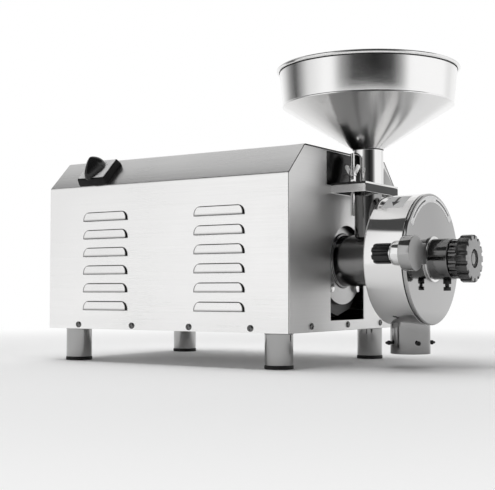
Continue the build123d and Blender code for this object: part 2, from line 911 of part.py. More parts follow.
def fixed_disc():
    disc = rod_x(disc_radius, fixed_disc_face, carrier_rear, sides=disc_sides)
    disc += ring_of_teeth(fixed_disc_tips, fixed_disc_face)
    return disc - rod_x(fixed_disc_bore, fixed_disc_tips - overrun, carrier_rear + overrun)


def disc_carrier():
    carrier = rod_x(carrier_radius, carrier_rear, carrier_front)
    carrier += rod_x(carrier_sleeve, carrier_front, sleeve_end)
    carrier += key_bar(0, cover_face, sleeve_end)
    carrier -= bore_x(screw_journal + turn_gap, carrier_rear - overrun, sleeve_end + overrun)
    pocket_end = carrier_rear + screw_collar_height + turn_gap
    return carrier - bore_x(screw_collar + seat_gap, carrier_rear - overrun, pocket_end)


def adjust_screw():
    return stepped_x(
        carrier_rear,
        [
            (carrier_rear + screw_collar_height, screw_collar),
            (sleeve_end + turn_gap, screw_journal),
            (knob_rear + knob_seat_depth, screw_thread),
            (knob_face - knob_pocket_depth + ring_nut_height, knob_stud),
        ],
    )


def lobed_outline(radius, flute, lobes):
    points = []
    step = 2 * pi / lobes
    half = knob_lobe_share * step / 2
    for lobe in range(lobes):
        centre = lobe * step
        for angle, r in (
            (centre - half, radius - flute),
            (centre - half, radius),
            (centre + half, radius),
            (centre + half, radius - flute),
        ):
            points.append((r * cos(angle), r * sin(angle)))
    return make_face(Polyline(*points, close=True))


def adjust_knob():
    knob = prism_x(lobed_outline(knob_radius, knob_flute, knob_lobes), knob_rear, knob_face)
    seat = knob_rear + knob_seat_depth
    floor = knob_face - knob_pocket_depth
    knob -= bore_x(screw_thread + turn_gap, knob_rear - overrun, seat)
    knob -= bore_x(knob_stud + turn_gap, knob_rear, knob_face + overrun)
    knob -= rod_x(knob_pocket, floor, knob_face + overrun)
    plate = knob_face - knob_plate_thickness
    return knob - rod_x(knob_plate_radius + turn_gap, plate, knob_face + overrun, sides=disc_sides)


def knob_plate():
    plate = rod_x(knob_plate_radius, knob_face - knob_plate_thickness, knob_face, sides=disc_sides)
    return plate - rod_x(knob_pocket, knob_face - overrun, knob_face + overrun)


def knob_ring_nut():
    x0 = knob_face - knob_pocket_depth
    x1 = x0 + ring_nut_height
    outline = lobed_outline(ring_nut_radius, ring_nut_notch_depth, ring_nut_notches)
    return prism_x(outline, x0, x1) - bore_x(knob_stud + turn_gap, x0 - overrun, x1 + overrun)


def clamp_washer_at(side):
    y = side * clamp_y
    washer = rod_x(clamp_washer, washer_rear, washer_rear + clamp_washer_height, y, clamp_z)
    hole = clamp_stud + turn_gap
    return washer - bore_x(hole, washer_rear - overrun, washer_rear + overrun, y, clamp_z, bolt_sides)


def clamp_knob_at(side):
    y = side * clamp_y
    front = washer_rear - turn_gap
    outline = lobed_outline(clamp_knob, clamp_flute, clamp_lobes)
    knob = prism_x(outline, front - clamp_knob_length, front, y, clamp_z)
    return knob + rod_x(clamp_stud, front, lug_face + clamp_stud_reach, y, clamp_z, bolt_sides)


def hopper_ring(radius, height):
    return circle_points(radius, hopper_sides, hopper_axis_x, 0, height)


def hopper_form(wall):
    neck = hopper_neck - wall
    skirt = hopper_skirt - wall
    low = hopper_cone_z + wall
    high = hopper_skirt_z + wall
    form = frustum(hopper_ring(neck, flange_low - wall), hopper_ring(neck, low))
    form += frustum(hopper_ring(neck, low), hopper_ring(skirt, high))
    return form + frustum(hopper_ring(skirt, high), hopper_ring(skirt, hopper_height + wall))


def hopper_bowl():
    rim_low = hopper_height - hopper_rim_height
    bowl = hopper_form(0) + frustum(hopper_ring(hopper_rim, rim_low), hopper_ring(hopper_rim, hopper_height))
    return bowl - hopper_form(hopper_sheet)


def stud_places():
    return [(head_x + stud_x, side * stud_y) for side in (-1, 1)]


def hopper_flange_plate():
    x0 = head_x + 2 * seat_gap
    x1 = head_x + shelf_reach
    plate = block(x0, x1, -shelf_half_width, shelf_half_width, flange_low, flange_top)
    web = [(0, 0), (shelf_half_width, 0), (hopper_neck, gusset_height), (0, gusset_height)]
    gusset_plane = cross_plane(x1 - gusset_inset - gusset_sheet, 0, flange_top)
    plate += extrude(gusset_plane * make_face(Polyline(*web, close=True)), gusset_sheet)
    plate -= frustum(hopper_ring(hopper_neck, shelf_height), hopper_ring(hopper_neck, hopper_cone_z))
    for x, y in stud_places():
        plate -= bore_z(stud_radius + seat_gap, flange_low - overrun, flange_top + overrun, x, y, bolt_sides)
    return plate


def hopper_shelf():
    x1 = head_x + shelf_reach
    low = shelf_height - shelf_drop
    half = shelf_half_width - shelf_plate
    shelf = block(head_x, x1, -shelf_half_width, shelf_half_width, low, shelf_height)
    shelf -= block(head_x + shelf_plate, x1 - shelf_plate, -half, half, low - overrun, shelf_height - shelf_plate)
    shelf -= rod_z(inlet_bore, low - overrun, shelf_height + overrun, hopper_axis_x, 0, tube_sides)
    for x, y in stud_places():
        shelf -= rod_z(stud_radius + turn_gap, low - overrun, shelf_height + overrun, x, y, bolt_sides)
    return shelf


def feed_inlet():
    top = shelf_height - shelf_plate
    tube = rod_z(inlet_radius, axis_height, top, hopper_axis_x, 0, tube_sides)
    tube -= rod_z(inlet_bore, axis_height - overrun, top + overrun, hopper_axis_x, 0, tube_sides)
    return tube - rod_x(barrel_radius, flange_face, drum_rear, sides=tube_sides)


def hopper_studs():
    return Compound(children=[rod_z(stud_radius, stud_bottom, stud_top, x, y, bolt_sides) for x, y in stud_places()])


def stud_nuts():
    top = shelf_height - shelf_plate
    low = top - stud_nut_height
    nuts = []
    for x, y in stud_places():
        nut = prism_z(hexagon(stud_nut), low, top, x, y)
        nuts.append(nut - rod_z(stud_radius + turn_gap, low - overrun, top + overrun, x, y, bolt_sides))
    return Compound(children=nuts)


def wing_collar_at(side):
    x = head_x + stud_x
    y = side * stud_y
    collar = prism_z(octagon(collar_radius), collar_low, collar_top, x, y)
    return collar - bore_z(stud_radius + turn_gap, collar_low - overrun, collar_top + overrun, x, y, bolt_sides)


def wing_nut_at(side):
    x = head_x + stud_x
    y = side * stud_y
    low = collar_top + turn_gap
    top = low + wing_hub_height
    root = wing_hub - stud_radius
    web = [
        (root, 0),
        (wing_hub, 0),
        (wing_span, wing_hub_height),
        (wing_span, wing_hub_height + wing_rise / 2),
        (wing_span - stud_radius, wing_hub_height + wing_rise),
        (root, wing_hub_height),
    ]
    wing = extrude(Plane.XZ * make_face(Polyline(*web, close=True)), wing_sheet / 2, both=True)
    nut = prism_z(octagon(wing_hub), low, top, x, y)
    nut += [Pos(x, y, low) * Rot(0, 0, turn) * wing for turn in (0, 180)]
    return nut - bore_z(stud_radius + turn_gap, low - overrun, top + wing_rise + overrun, x, y, bolt_sides)


pieces = {
    "base_tray": base_tray(),
    "casing_cover": casing_cover(),
    "head_end_panel": head_end_panel(),
    "tail_end_panel": tail_end_panel(),
    "casing_screws": casing_screws(),
    "legs": legs(),
    "leg_pads": leg_pads(),
    "tray_bolts": tray_bolts(),
    "cable_gland": cable_gland(),
    "switch_base": switch_base(),
    "switch_plate": switch_plate(),
    "switch_handle": switch_handle(),
    "motor_shell": motor_shell(),
    "stator_core": stator_core(),
    "stator_windings": stator_windings(),
    "drive_end_bell": drive_end_bell(),
    "fan_end_bell": fan_end_bell(),
    "motor_bearings": motor_bearings(),
    "fan_cowl": fan_cowl(),
    "motor_cradle": motor_cradle(),
    "run_capacitors": run_capacitors(),
    "capacitor_clamp": capacitor_clamp(),
    "motor_shaft": motor_shaft(),
    "rotor_core": rotor_core(),
    "cooling_fan": cooling_fan(),
    "feed_auger": feed_auger(),
    "rotating_disc": rotating_disc(),
    "disc_nut": disc_nut(),
    "feed_barrel": feed_barrel(),
    "barrel_bolts": barrel_bolts(),
    "shaft_seal": shaft_seal(),
    "mill_drum": mill_drum(),
    "discharge_spout": discharge_spout(),
    "bag_pegs": bag_pegs(),
    "front_cover": front_cover(),
    "cover_gasket": cover_gasket(),
    "adjuster_hub": adjuster_hub(),
    "lock_bolt": lock_bolt_set(),
    "fixed_disc": fixed_disc(),
    "disc_carrier": disc_carrier(),
    "adjust_screw": adjust_screw(),
    "adjust_knob": adjust_knob(),
    "knob_plate": knob_plate(),
    "knob_ring_nut": knob_ring_nut(),
    "clamp_washer_front": clamp_washer_at(-1),
    "clamp_washer_rear": clamp_washer_at(1),
    "clamp_knob_front": clamp_knob_at(-1),
    "clamp_knob_rear": clamp_knob_at(1),
    "hopper_bowl": hopper_bowl(),
    "hopper_flange": hopper_flange_plate(),
    "hopper_shelf": hopper_shelf(),
    "feed_inlet": feed_inlet(),
    "hopper_studs": hopper_studs(),
    "stud_nuts": stud_nuts(),
    "wing_collar_front": wing_collar_at(-1),
    "wing_collar_rear": wing_collar_at(1),
    "wing_nut_front": wing_nut_at(-1),
    "wing_nut_rear": wing_nut_at(1),
}

os.makedirs("parts", exist_ok=True)
for name, shape in pieces.items():
    solids = [Pos(0, -middle_y, 0) * solid for solid in shape.solids()]
    export_step(Compound(children=solids), f"parts/{name}.step")
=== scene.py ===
from math import cos, pi, radians, sin, sqrt

import bmesh
import bpy
from mathutils import Matrix, Vector


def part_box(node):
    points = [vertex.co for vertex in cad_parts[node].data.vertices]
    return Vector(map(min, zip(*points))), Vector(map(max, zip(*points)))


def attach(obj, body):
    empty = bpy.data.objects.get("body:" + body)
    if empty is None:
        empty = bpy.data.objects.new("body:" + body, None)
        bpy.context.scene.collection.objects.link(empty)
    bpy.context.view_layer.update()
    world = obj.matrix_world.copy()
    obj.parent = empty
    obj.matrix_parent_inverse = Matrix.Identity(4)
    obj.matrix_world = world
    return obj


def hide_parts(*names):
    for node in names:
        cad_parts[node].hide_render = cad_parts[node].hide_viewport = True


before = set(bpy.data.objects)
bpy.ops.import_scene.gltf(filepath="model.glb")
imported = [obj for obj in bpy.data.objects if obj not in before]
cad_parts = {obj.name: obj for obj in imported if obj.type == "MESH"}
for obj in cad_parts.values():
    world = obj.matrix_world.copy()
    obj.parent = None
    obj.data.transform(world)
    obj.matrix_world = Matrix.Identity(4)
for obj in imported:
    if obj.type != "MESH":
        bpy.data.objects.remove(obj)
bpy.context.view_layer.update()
mm = 0.001
shaftLow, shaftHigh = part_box("motor_shaft")
axisY = (shaftLow[1] + shaftHigh[1]) / 2  # the spindle runs along X at this Y
axisZ = (shaftLow[2] + shaftHigh[2]) / 2 / mm
spindleLine = (0, axisZ)
print("frame loaded,", len(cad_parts), "nodes")


# sizes below are in mm, with Y counted from the spindle
def at(x, y, z):
    return Vector((x * mm, axisY + y * mm, z * mm))


# a node's output, so that sums on it add Math nodes
class Field:
    def __init__(self, nodes, socket):
        self.nodes = nodes
        self.socket = socket

    def combine(self, operation, other, swap=False):
        first, second = (other, self) if swap else (self, other)
        return self.nodes.add("ShaderNodeMath", {"operation": operation}, {0: first, 1: second})

    def __add__(self, other):
        return self.combine("ADD", other)

    def __radd__(self, other):
        return self.combine("ADD", other)

    def __sub__(self, other):
        return self.combine("SUBTRACT", other)

    def __rsub__(self, other):
        return self.combine("SUBTRACT", other, True)

    def __mul__(self, other):
        return self.combine("MULTIPLY", other)

    def __rmul__(self, other):
        return self.combine("MULTIPLY", other)

    def __truediv__(self, other):
        return self.combine("DIVIDE", other)

    def __rtruediv__(self, other):
        return self.combine("DIVIDE", other, True)

    def __gt__(self, other):
        return self.combine("GREATER_THAN", other)

    def ramp(self, low, high):
        sockets = {"Value": self, "From Min": low, "From Max": high}
        return self.nodes.add("ShaderNodeMapRange", {"interpolation_type": "SMOOTHSTEP"}, sockets)


class Nodes:
    def __init__(self, tree):
        self.tree = tree

    def add(self, kind, settings=None, sockets=None, out=0):
        node = self.tree.nodes.new(kind)
        for key, value in (settings or {}).items():
            if key == "stops":
                ramp = node.color_ramp
                while len(ramp.elements) < len(value):
                    ramp.elements.new(0.5)
                for element, (position, tone) in zip(ramp.elements, value):
                    element.position = position
                    element.color = (tone, tone, tone, 1)
            else:
                setattr(node, key, value)
        for key, value in (sockets or {}).items():
            self.feed(node.inputs[key], value)
        return Field(self, node.outputs[out]) if len(node.outputs) else None

    def feed(self, socket, value):
        if isinstance(value, Field):
            self.tree.links.new(value.socket, socket)
        else:
            socket.default_value = value

    def mix(self, factor, first, second):
        sockets = {0: factor, 6: first, 7: second}
        return self.add("ShaderNodeMix", {"data_type": "RGBA"}, sockets, 2)


class Finish(Nodes):
    def __init__(self, name):
        self.material = bpy.data.materials.new(name)
        self.material.use_nodes = True
        super().__init__(self.material.node_tree)
        self.shader = self.tree.nodes["Principled BSDF"]

    def put(self, **values):
        for key, value in values.items():
            self.feed(self.shader.inputs[key.replace("_", " ")], value)

    def coords(self, scale=(1, 1, 1)):
        place = self.add("ShaderNodeTexCoord", out="Object")
        return self.add("ShaderNodeMapping", {}, {"Vector": place, "Scale": scale})

    # scale: one number, or one for each of X, Y and Z
    def noise(self, scale, detail=3.0, rough=0.55):
        grain = scale if isinstance(scale, tuple) else (scale, scale, scale)
        sockets = {"Vector": self.coords(grain), "Scale": 1.0, "Detail": detail, "Roughness": rough}
        return self.add("ShaderNodeTexNoise", {}, sockets)

    def bump(self, height, distance, strength):
        sockets = {"Height": height, "Distance": distance, "Strength": strength}
        self.put(Normal=self.add("ShaderNodeBump", {}, sockets))


def grey(tone, warm=0.0):
    return (tone * (1 + warm), tone, tone * (1 - warm), 1)


warmth = 0.004  # steel is a touch warmer than grey
darkSteel = grey(0.02, warmth)


def paintSteel(finish, tone, shade, rough):
    colour = finish.mix(shade, grey(tone, warmth), darkSteel)
    finish.put(Metallic=1.0, Base_Color=colour, Roughness=rough)


brush = {
    "clouds": 11, "lineShade": 0.08, "cloudShade": 0.06, "lineRough": 0.10, "cloudRough": 0.06,
    "depth": 0.00012, "strength": 0.35,
}


# grain is the noise scale along X, Y and Z: the small number is the way the brush ran
# the last argument, when given, darkens the creases with painted shade; None where there is none
def brushedSteel(name, tone, rough, grain, paintedShade=None):
    finish = Finish(name)
    lines = finish.noise(grain, 5.0, 0.7)
    clouds = finish.noise(brush["clouds"], 2.0)
    shade = lines * brush["lineShade"] + clouds * brush["cloudShade"]
    if paintedShade:
        shade = shade + paintedShade(finish)
    uneven = (lines - 0.5) * brush["lineRough"] + (clouds - 0.5) * brush["cloudRough"]
    paintSteel(finish, tone, shade, rough + uneven)
    finish.bump(lines, brush["depth"], brush["strength"])
    return finish


polish = {
    "smears": 17, "smearShade": 0.05, "smearFrom": 0.62, "smearRough": 0.12, "hazeRough": 0.5,
    "depth": 0.00005, "strength": 0.15,
}


def polishedSteel(name, tone, rough, grain=60):
    finish = Finish(name)
    haze = finish.noise(grain)
    smears = finish.noise(polish["smears"], 4.0, 0.6)
    shade = smears * polish["smearShade"]
    uneven = (haze - 0.5) * (rough * polish["hazeRough"])
    uneven = uneven + (smears > polish["smearFrom"]) * (rough * polish["smearRough"])
    paintSteel(finish, tone, shade, rough + uneven)
    finish.bump(haze, polish["depth"], polish["strength"])
    return finish


mould = {
    "wear": 40, "wearFrom": 0.45, "wearTo": 0.75, "wearRough": 0.16, "skinRough": 0.08,
    "depth": 0.00006, "strength": 0.4,
}


def moulded(name, tone, rough, grain=900, shine=0.3):
    finish = Finish(name)
    skin = finish.noise(grain, 2.0)
    wear = finish.noise(mould["wear"], 4.0, 0.65)
    worn = grey(tone * 1.5 + 0.003)
    finish.put(Base_Color=finish.mix(wear.ramp(mould["wearFrom"], mould["wearTo"]), grey(tone), worn))
    finish.put(Roughness=rough + (wear - 0.5) * mould["wearRough"] + (skin - 0.5) * mould["skinRough"])
    finish.put(Specular_IOR_Level=shine)
    finish.bump(skin, mould["depth"], mould["strength"])
    return finish


casting = {
    "pits": 420, "clouds": 30, "low": 0.75, "high": 1.15, "pitRough": 0.2,
    "depth": 0.0002, "strength": 0.5,
}


def castMetal(name, tone, rough, metallic=0.85, warm=0.0):
    finish = Finish(name)
    pits = finish.noise(casting["pits"], 5.0, 0.65)
    clouds = finish.noise(casting["clouds"])
    low, high = grey(tone * casting["low"], warm), grey(tone * casting["high"], warm)
    finish.put(Metallic=metallic, Base_Color=finish.mix(pits * 0.5 + clouds * 0.5, low, high))
    finish.put(Roughness=rough + (pits - 0.5) * casting["pitRough"])
    finish.bump(pits, casting["depth"], casting["strength"])
    return finish


ink = {"fleck": 300, "fade": 26, "faded": 0.94, "rough": 0.45, "fleckRough": 0.1}


def printed(name, tone):
    finish = Finish(name)
    fleck = finish.noise(ink["fleck"], 2.0)
    fade = finish.noise(ink["fade"])
    finish.put(Base_Color=finish.mix(fade, grey(tone * ink["faded"]), grey(tone)))
    finish.put(Roughness=ink["rough"] + (fleck - 0.5) * ink["fleckRough"])
    return finish


# painted shade: dark lines round each louvre's creases and opening, from the attribute on its form
def louvrePaintedShade(finish):
    return finish.add("ShaderNodeAttribute", {"attribute_name": "rim"}, out="Fac") * 0.95


wallSteel = brushedSteel("wallSteel", 0.97, 0.26, (6, 700, 700))
panelSteel = brushedSteel("panelSteel", 0.82, 0.42, (700, 6, 700))
foldSteel = brushedSteel("foldSteel", 0.93, 0.26, (300, 8, 500))
hopperSteel = polishedSteel("hopperSteel", 0.94, 0.17, (40, 40, 260))
rimSteel = polishedSteel("rimSteel", 0.86, 0.16)
neckSteel = polishedSteel("neckSteel", 0.88, 0.06)
coneSteel = polishedSteel("coneSteel", 0.90, 0.18, 9)
legSteel = polishedSteel("legSteel", 0.44, 0.10)
spoutSteel = polishedSteel("spoutSteel", 0.31, 0.10)
# louvre hoods carry painted shade in their creases
hoodSteel = brushedSteel("hoodSteel", 0.97, 0.26, (6, 700, 700), louvrePaintedShade)
flangeSteel = brushedSteel("flangeSteel", 0.55, 0.3, (8, 600, 600))
drumSteel = polishedSteel("drumSteel", 0.84, 0.08, (500, 12, 12))
coverSteel = polishedSteel("coverSteel", 0.44, 0.07, (30, 90, 90))
footSteel = polishedSteel("footSteel", 0.34, 0.34, (30, 90, 90))
# near-black, for the painted-shade plate behind the neck
shadeSheetSteel = polishedSteel("shadeSheetSteel", 0.035, 0.20)
inletSteel = polishedSteel("inletSteel", 0.34, 0.12)
screwSteel = polishedSteel("screwSteel", 0.17, 0.22)
collarSteel = polishedSteel("collarSteel", 0.16, 0.22)
earSteel = polishedSteel("earSteel", 0.42, 0.12, (200, 30, 30))
hubSteel = polishedSteel("hubSteel", 0.20, 0.13, (40, 200, 200))
barrelSteel = polishedSteel("barrelSteel", 0.30, 0.20, (300, 14, 14))
zincSteel = polishedSteel("zincSteel", 0.86, 0.16)
wingSteel = polishedSteel("wingSteel", 0.97, 0.34)
blackOxide = castMetal("blackOxide", 0.03, 0.34, 0.6)
# near-black, for painted shadow lines in joints and gaps
paintedShadowSteel = castMetal("paintedShadowSteel", 0.02, 0.5, 0.4)
castIron = castMetal("castIron", 0.30, 0.42)
castAlloy = castMetal("castAlloy", 0.10, 0.45)
coreSteel = castMetal("coreSteel", 0.22, 0.5)
copperWire = castMetal("copperWire", 0.42, 0.4, 0.9, 0.55)
blackPlastic = moulded("blackPlastic", 0.006, 0.34, 900, 0.14)
glossPlastic = moulded("glossPlastic", 0.008, 0.22, 700, 0.45)
knobPlastic = moulded("knobPlastic", 0.045, 0.22, 700, 0.8)
blackRubber = moulded("blackRubber", 0.014, 0.62)
plateGrey = printed("plateGrey", 0.66)
knobGrey = printed("knobGrey", 0.42)
stickerWhite = printed("stickerWhite", 0.94)
inkBlack = printed("inkBlack", 0.025)
print("finishes ready:", len(bpy.data.materials))


def linked(name, data):
    piece = bpy.data.objects.new(name, data)
    bpy.context.scene.collection.objects.link(piece)
    return piece


def baked(piece):
    graph = bpy.context.evaluated_depsgraph_get()
    mesh = bpy.data.meshes.new_from_object(piece.evaluated_get(graph))
    piece.modifiers.clear()
    piece.data = mesh
    return piece


def shaded(piece, finish, angle=32):
    mesh = piece.data
    mesh.shade_smooth()
    mesh.set_sharp_from_angle(angle=radians(angle))
    mesh.materials.clear()
    mesh.materials.append(finish.material)
    return piece


def solid(name, points, faces, turnOut=True):
    mesh = bpy.data.meshes.new(name)
    mesh.from_pydata([at(*point) for point in points], [], faces)
    form = bmesh.new()
    form.from_mesh(mesh)
    bmesh.ops.remove_doubles(form, verts=form.verts, dist=1e-7)
    bmesh.ops.dissolve_degenerate(form, edges=form.edges, dist=1e-8)
    if turnOut:
        bmesh.ops.recalc_face_normals(form, faces=form.faces)
    form.to_mesh(mesh)
    form.free()
    return linked(name, mesh)


def rectangle(left, low, right, high):
    return [(left, low), (right, low), (right, high), (left, high)]


# rounds the corners of a closed outline; each corner's radius is cut to what its sides allow
# a corner may give its own radius as a third number
def softened(outline, radius=0.0, steps=3):
    soft = []
    count = len(outline)
    for i in range(count):
        corner = Vector(outline[i][:2])
        before = Vector(outline[i - 1][:2]) - corner
        after = Vector(outline[(i + 1) % count][:2]) - corner
        wanted = outline[i][2] if len(outline[i]) > 2 else radius
        reach = min(wanted, before.length * 0.45, after.length * 0.45)
        if reach < 1e-6:
            soft.append(tuple(corner))
            continue
        start = corner + before.normalized() * reach
        end = corner + after.normalized() * reach
        for step in range(steps + 1):
            t = step / steps
            soft.append(tuple(start * (1 - t) ** 2 + corner * 2 * t * (1 - t) + end * t ** 2))
    return soft


# profile: closed outline of (radius, place along the axis), both in mm
def turned(name, profile, axis, centre, steps=96):
    points = []
    faces = []
    count = len(profile)
    for step in range(steps):
        a = 2 * pi * step / steps
        for radius, along in profile:
            u, v = centre[0] + radius * cos(a), centre[1] + radius * sin(a)
            points.append((along, u, v) if axis == "X" else (u, v, along))
        base = step * count
        follow = (step + 1) % steps * count
        for i in range(count):
            j = (i + 1) % count
            faces.append((base + i, base + j, follow + j, follow + i))
    return solid(name, points, faces)


# outline in its own plane, pushed out by depth along the normal; across and up are the plane's axes
def slab(name, outline, origin, across, up, depth, bevel=0.0, segments=2):
    across = Vector(across)
    up = Vector(up)
    normal = across.cross(up)
    count = len(outline)
    points = []
    for level in (0.0, depth):
        for u, v in outline:
            points.append(tuple(Vector(origin) + across * u + up * v + normal * level))
    faces = [tuple(range(count)), tuple(range(count, 2 * count))]
    for i in range(count):
        j = (i + 1) % count
        faces.append((i, j, count + j, count + i))
    piece = solid(name, points, faces)
    return softenEdges(piece, bevel, segments) if bevel else piece


def softenEdges(piece, width, segments=2, angle=40):
    bevel = piece.modifiers.new("edges", "BEVEL")
    bevel.width = width * mm
    bevel.segments = segments
    bevel.limit_method = "ANGLE"
    bevel.angle_limit = radians(angle)
    return baked(piece)


# a merged copy of a node with eased edges, which stands for the node
def eased(node, name, finish, width, segments=2, shade=32):
    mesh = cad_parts[node].data.copy()
    form = bmesh.new()
    form.from_mesh(mesh)
    bmesh.ops.remove_doubles(form, verts=form.verts, dist=2e-6)
    bmesh.ops.dissolve_limit(form, angle_limit=radians(0.5), verts=form.verts, edges=form.edges)
    form.to_mesh(mesh)
    form.free()
    return shaded(softenEdges(linked(name, mesh), width, segments), finish, shade)


# gives the faces that the test picks another finish
def repaint(piece, finish, test):
    index = len(piece.data.materials)
    piece.data.materials.append(finish.material)
    for face in piece.data.polygons:
        if test(face):
            face.material_index = index


# gives a skin its wall, inwards
def thickened(piece, wall, even=False):
    modifier = piece.modifiers.new("wall", "SOLIDIFY")
    modifier.thickness = wall * mm
    modifier.offset = -1
    modifier.use_even_offset = even
    return baked(piece)


def joined(name, parts):
    mesh = bpy.data.meshes.new(name)
    form = bmesh.new()
    finishes = []
    for part in parts:
        start = len(form.faces)
        own = [slot.material for slot in part.material_slots]
        form.from_mesh(part.data)
        form.faces.ensure_lookup_table()
        for face in form.faces[start:]:
            material = own[face.material_index] if own else None
            if material not in finishes:
                finishes.append(material)
            face.material_index = finishes.index(material)
    form.to_mesh(mesh)
    form.free()
    for material in finishes:
        mesh.materials.append(material)
    for part in parts:
        bpy.data.objects.remove(part)
    return linked(name, mesh)


def cut(piece, cutter):
    modifier = piece.modifiers.new("cut", "BOOLEAN")
    modifier.operation = "DIFFERENCE"
    modifier.solver = "EXACT"
    modifier.object = cutter
    baked(piece)
    bpy.data.objects.remove(cutter)
    return piece


# brings a form that is to be copied back from the spindle to the origin
def atOrigin(form):
    form.data.transform(Matrix.Translation((0, -axisY, 0)))
    return form


def settle(piece, body, slot, *stands):
    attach(piece, body)
    if stands:
        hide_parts(*stands)
    return piece


copyInputs = {"Form": "Object", "Count": "Int", "Step": "Vector", "Radius": "Float", "Finish": "Material"}


# a node tree that sets copies of one form along a line, or round a ring in its own XY plane
def copyTree(name, ring):
    tree = bpy.data.node_groups.new(name, "GeometryNodeTree")
    tree.interface.new_socket("Geometry", in_out="OUTPUT", socket_type="NodeSocketGeometry")
    for key, kind in copyInputs.items():
        tree.interface.new_socket(key, in_out="INPUT", socket_type="NodeSocket" + kind)
    nodes = Nodes(tree)
    given = {key: nodes.add("NodeGroupInput", out=key) for key in copyInputs}
    form = nodes.add("GeometryNodeObjectInfo", {}, {"Object": given["Form"]}, "Geometry")
    if ring:
        sockets = {"Vertices": given["Count"], "Radius": given["Radius"]}
        points = nodes.add("GeometryNodeMeshCircle", {}, sockets)
        turn = nodes.add("GeometryNodeInputIndex") / given["Count"] * (2 * pi)
        spin = {"Rotation": nodes.add("ShaderNodeCombineXYZ", {}, {"Z": turn})}
    else:
        sockets = {"Count": given["Count"], "Offset": given["Step"]}
        points = nodes.add("GeometryNodeMeshLine", {"mode": "OFFSET"}, sockets)
        spin = {}
    spread = nodes.add("GeometryNodeInstanceOnPoints", {}, {"Points": points, "Instance": form, **spin})
    real = nodes.add("GeometryNodeRealizeInstances", {}, {"Geometry": spread})
    coat = nodes.add("GeometryNodeSetMaterial", {}, {"Geometry": real, "Material": given["Finish"]})
    nodes.add("NodeGroupOutput", {}, {"Geometry": coat})
    return tree


rowTree = copyTree("copiesInARow", False)
ringTree = copyTree("copiesRoundARing", True)


def copies(name, tree, form, finish, place, **values):
    piece = linked(name, bpy.data.meshes.new(name))
    modifier = piece.modifiers.new("copies", "NODES")
    modifier.node_group = tree
    inputs = {item.name: item.identifier for item in tree.interface.items_tree if item.in_out == "INPUT"}
    values.update(Form=form, Finish=finish.material)
    for key, value in values.items():
        modifier[inputs[key]] = value
    baked(piece)
    piece.data.transform(place)
    return piece


# casing: folded sheet with pressed louvres

casing = {
    "tail": -294.5, "head": 125.5, "half": 163.0, "low": 48.0, "fold": 257.0, "run": 42.6,
    "sheet": 1.5, "bend": 2.6, "panelEdge": 0.7,
}
louvre = {
    "width": 83.0, "height": 13.5, "depth": 2.8, "lean": 0.30, "corner": 10.8, "sheet": 1.1,
    "rows": 6, "pitch": 26.0, "column": 100.7, "lowest": 75.3,
    "across": 40, "up": 12, "endPower": 50, "topPower": 24,  # high powers make square shoulders
    "creaseFrom": 0.94, "creaseFade": 0.025, "creaseTop": 0.92, "creaseLow": 0.3,
    "holeTrim": 2.2, "holeDrop": 2.0, "holeSteps": 8, "holeReach": 20.0,
}
casingMiddle = (casing["tail"] + casing["head"]) / 2


def louvreHalf(rise, trim=0.0):
    corner = louvre["corner"]
    over = max(0.0, rise - (louvre["height"] - corner)) / corner
    return louvre["width"] / 2 - trim - corner * (1 - sqrt(max(0.0, 1 - over ** 2)))


def louvreForm():
    across, up = louvre["across"], louvre["up"]
    points = []
    rims = []
    for row in range(up + 1):
        share = sin(pi / 2 * row / up)  # rows crowd towards the top crease
        rise = louvre["height"] * share
        half = louvreHalf(rise)
        bulge = louvre["depth"] * (1 - louvre["lean"] * share) * sqrt(1 - share ** louvre["topPower"])
        for column in range(across + 1):
            u = sin(pi / 2 * (2 * column / across - 1))
            points.append((half * u, -bulge * sqrt(1 - abs(u) ** louvre["endPower"]), rise))
            # rim: how much painted shade each point takes, at the ends, top and bottom of the louvre
            ends = min(1.0, max(0.0, (abs(u) - louvre["creaseFrom"]) / louvre["creaseFade"]))
            low = louvre["creaseLow"] * (row == 1)
            rims.append(float(max(ends, low, row == 0, share > louvre["creaseTop"])))
    faces = []
    for row in range(up):
        for column in range(across):
            a = row * (across + 1) + column
            faces.append((a, a + 1, a + across + 2, a + across + 1))
    mesh = bpy.data.meshes.new("louvreForm")
    mesh.from_pydata([Vector(point) * mm for point in points], [], faces)
    mesh.attributes.new("rim", "FLOAT", "POINT").data.foreach_set("value", rims)
    return shaded(thickened(linked("louvreForm", mesh), louvre["sheet"]), hoodSteel, 50)


def louvreHoles():
    steps, reach = louvre["holeSteps"], louvre["holeReach"]
    outline = []
    for step in range(steps + 1):
        rise = (louvre["height"] - louvre["holeDrop"]) * step / steps
        outline.append((louvreHalf(rise, louvre["holeTrim"]), rise))
    outline += [(-u, v) for u, v in reversed(outline)]
    holes = []
    for side in (-1, 1):
        for column in (-1, 1):
            for row in range(louvre["rows"]):
                x = casingMiddle + column * louvre["column"]
                z = louvre["lowest"] + row * louvre["pitch"]
                origin = (x, side * casing["half"] + reach, z)
                holes.append(slab("hole", outline, origin, (1, 0, 0), (0, 0, 1), 2 * reach))
    return joined("louvreHoles", holes)


def makeCasing():
    half, low, fold, run = casing["half"], casing["low"], casing["fold"], casing["run"]
    flank, roof = half - run, fold + run
    outer = [(-half, low, 0), (-half, fold), (-flank, roof), (flank, roof), (half, fold), (half, low, 0)]
    section = softened(outer, casing["bend"], 4)
    points = []
    for x in (casing["tail"], casing["head"]):
        points += [(x, y, z) for y, z in section]
    count = len(section)
    faces = [(i + 1, i, count + i, count + i + 1) for i in range(count - 1)]
    skin = thickened(solid("casingSkin", points, faces, False), casing["sheet"], True)
    cut(skin, louvreHoles())
    shaded(skin, wallSteel, 8)
    # painted shade: the sheet's cut ends are made near-black, as shade in the joints with the end panels
    repaint(skin, paintedShadowSteel, lambda face: abs(face.normal.x) > 0.7)  # the sheet's cut ends
    settle(skin, "chassis", "casing_steel", "casing_cover")


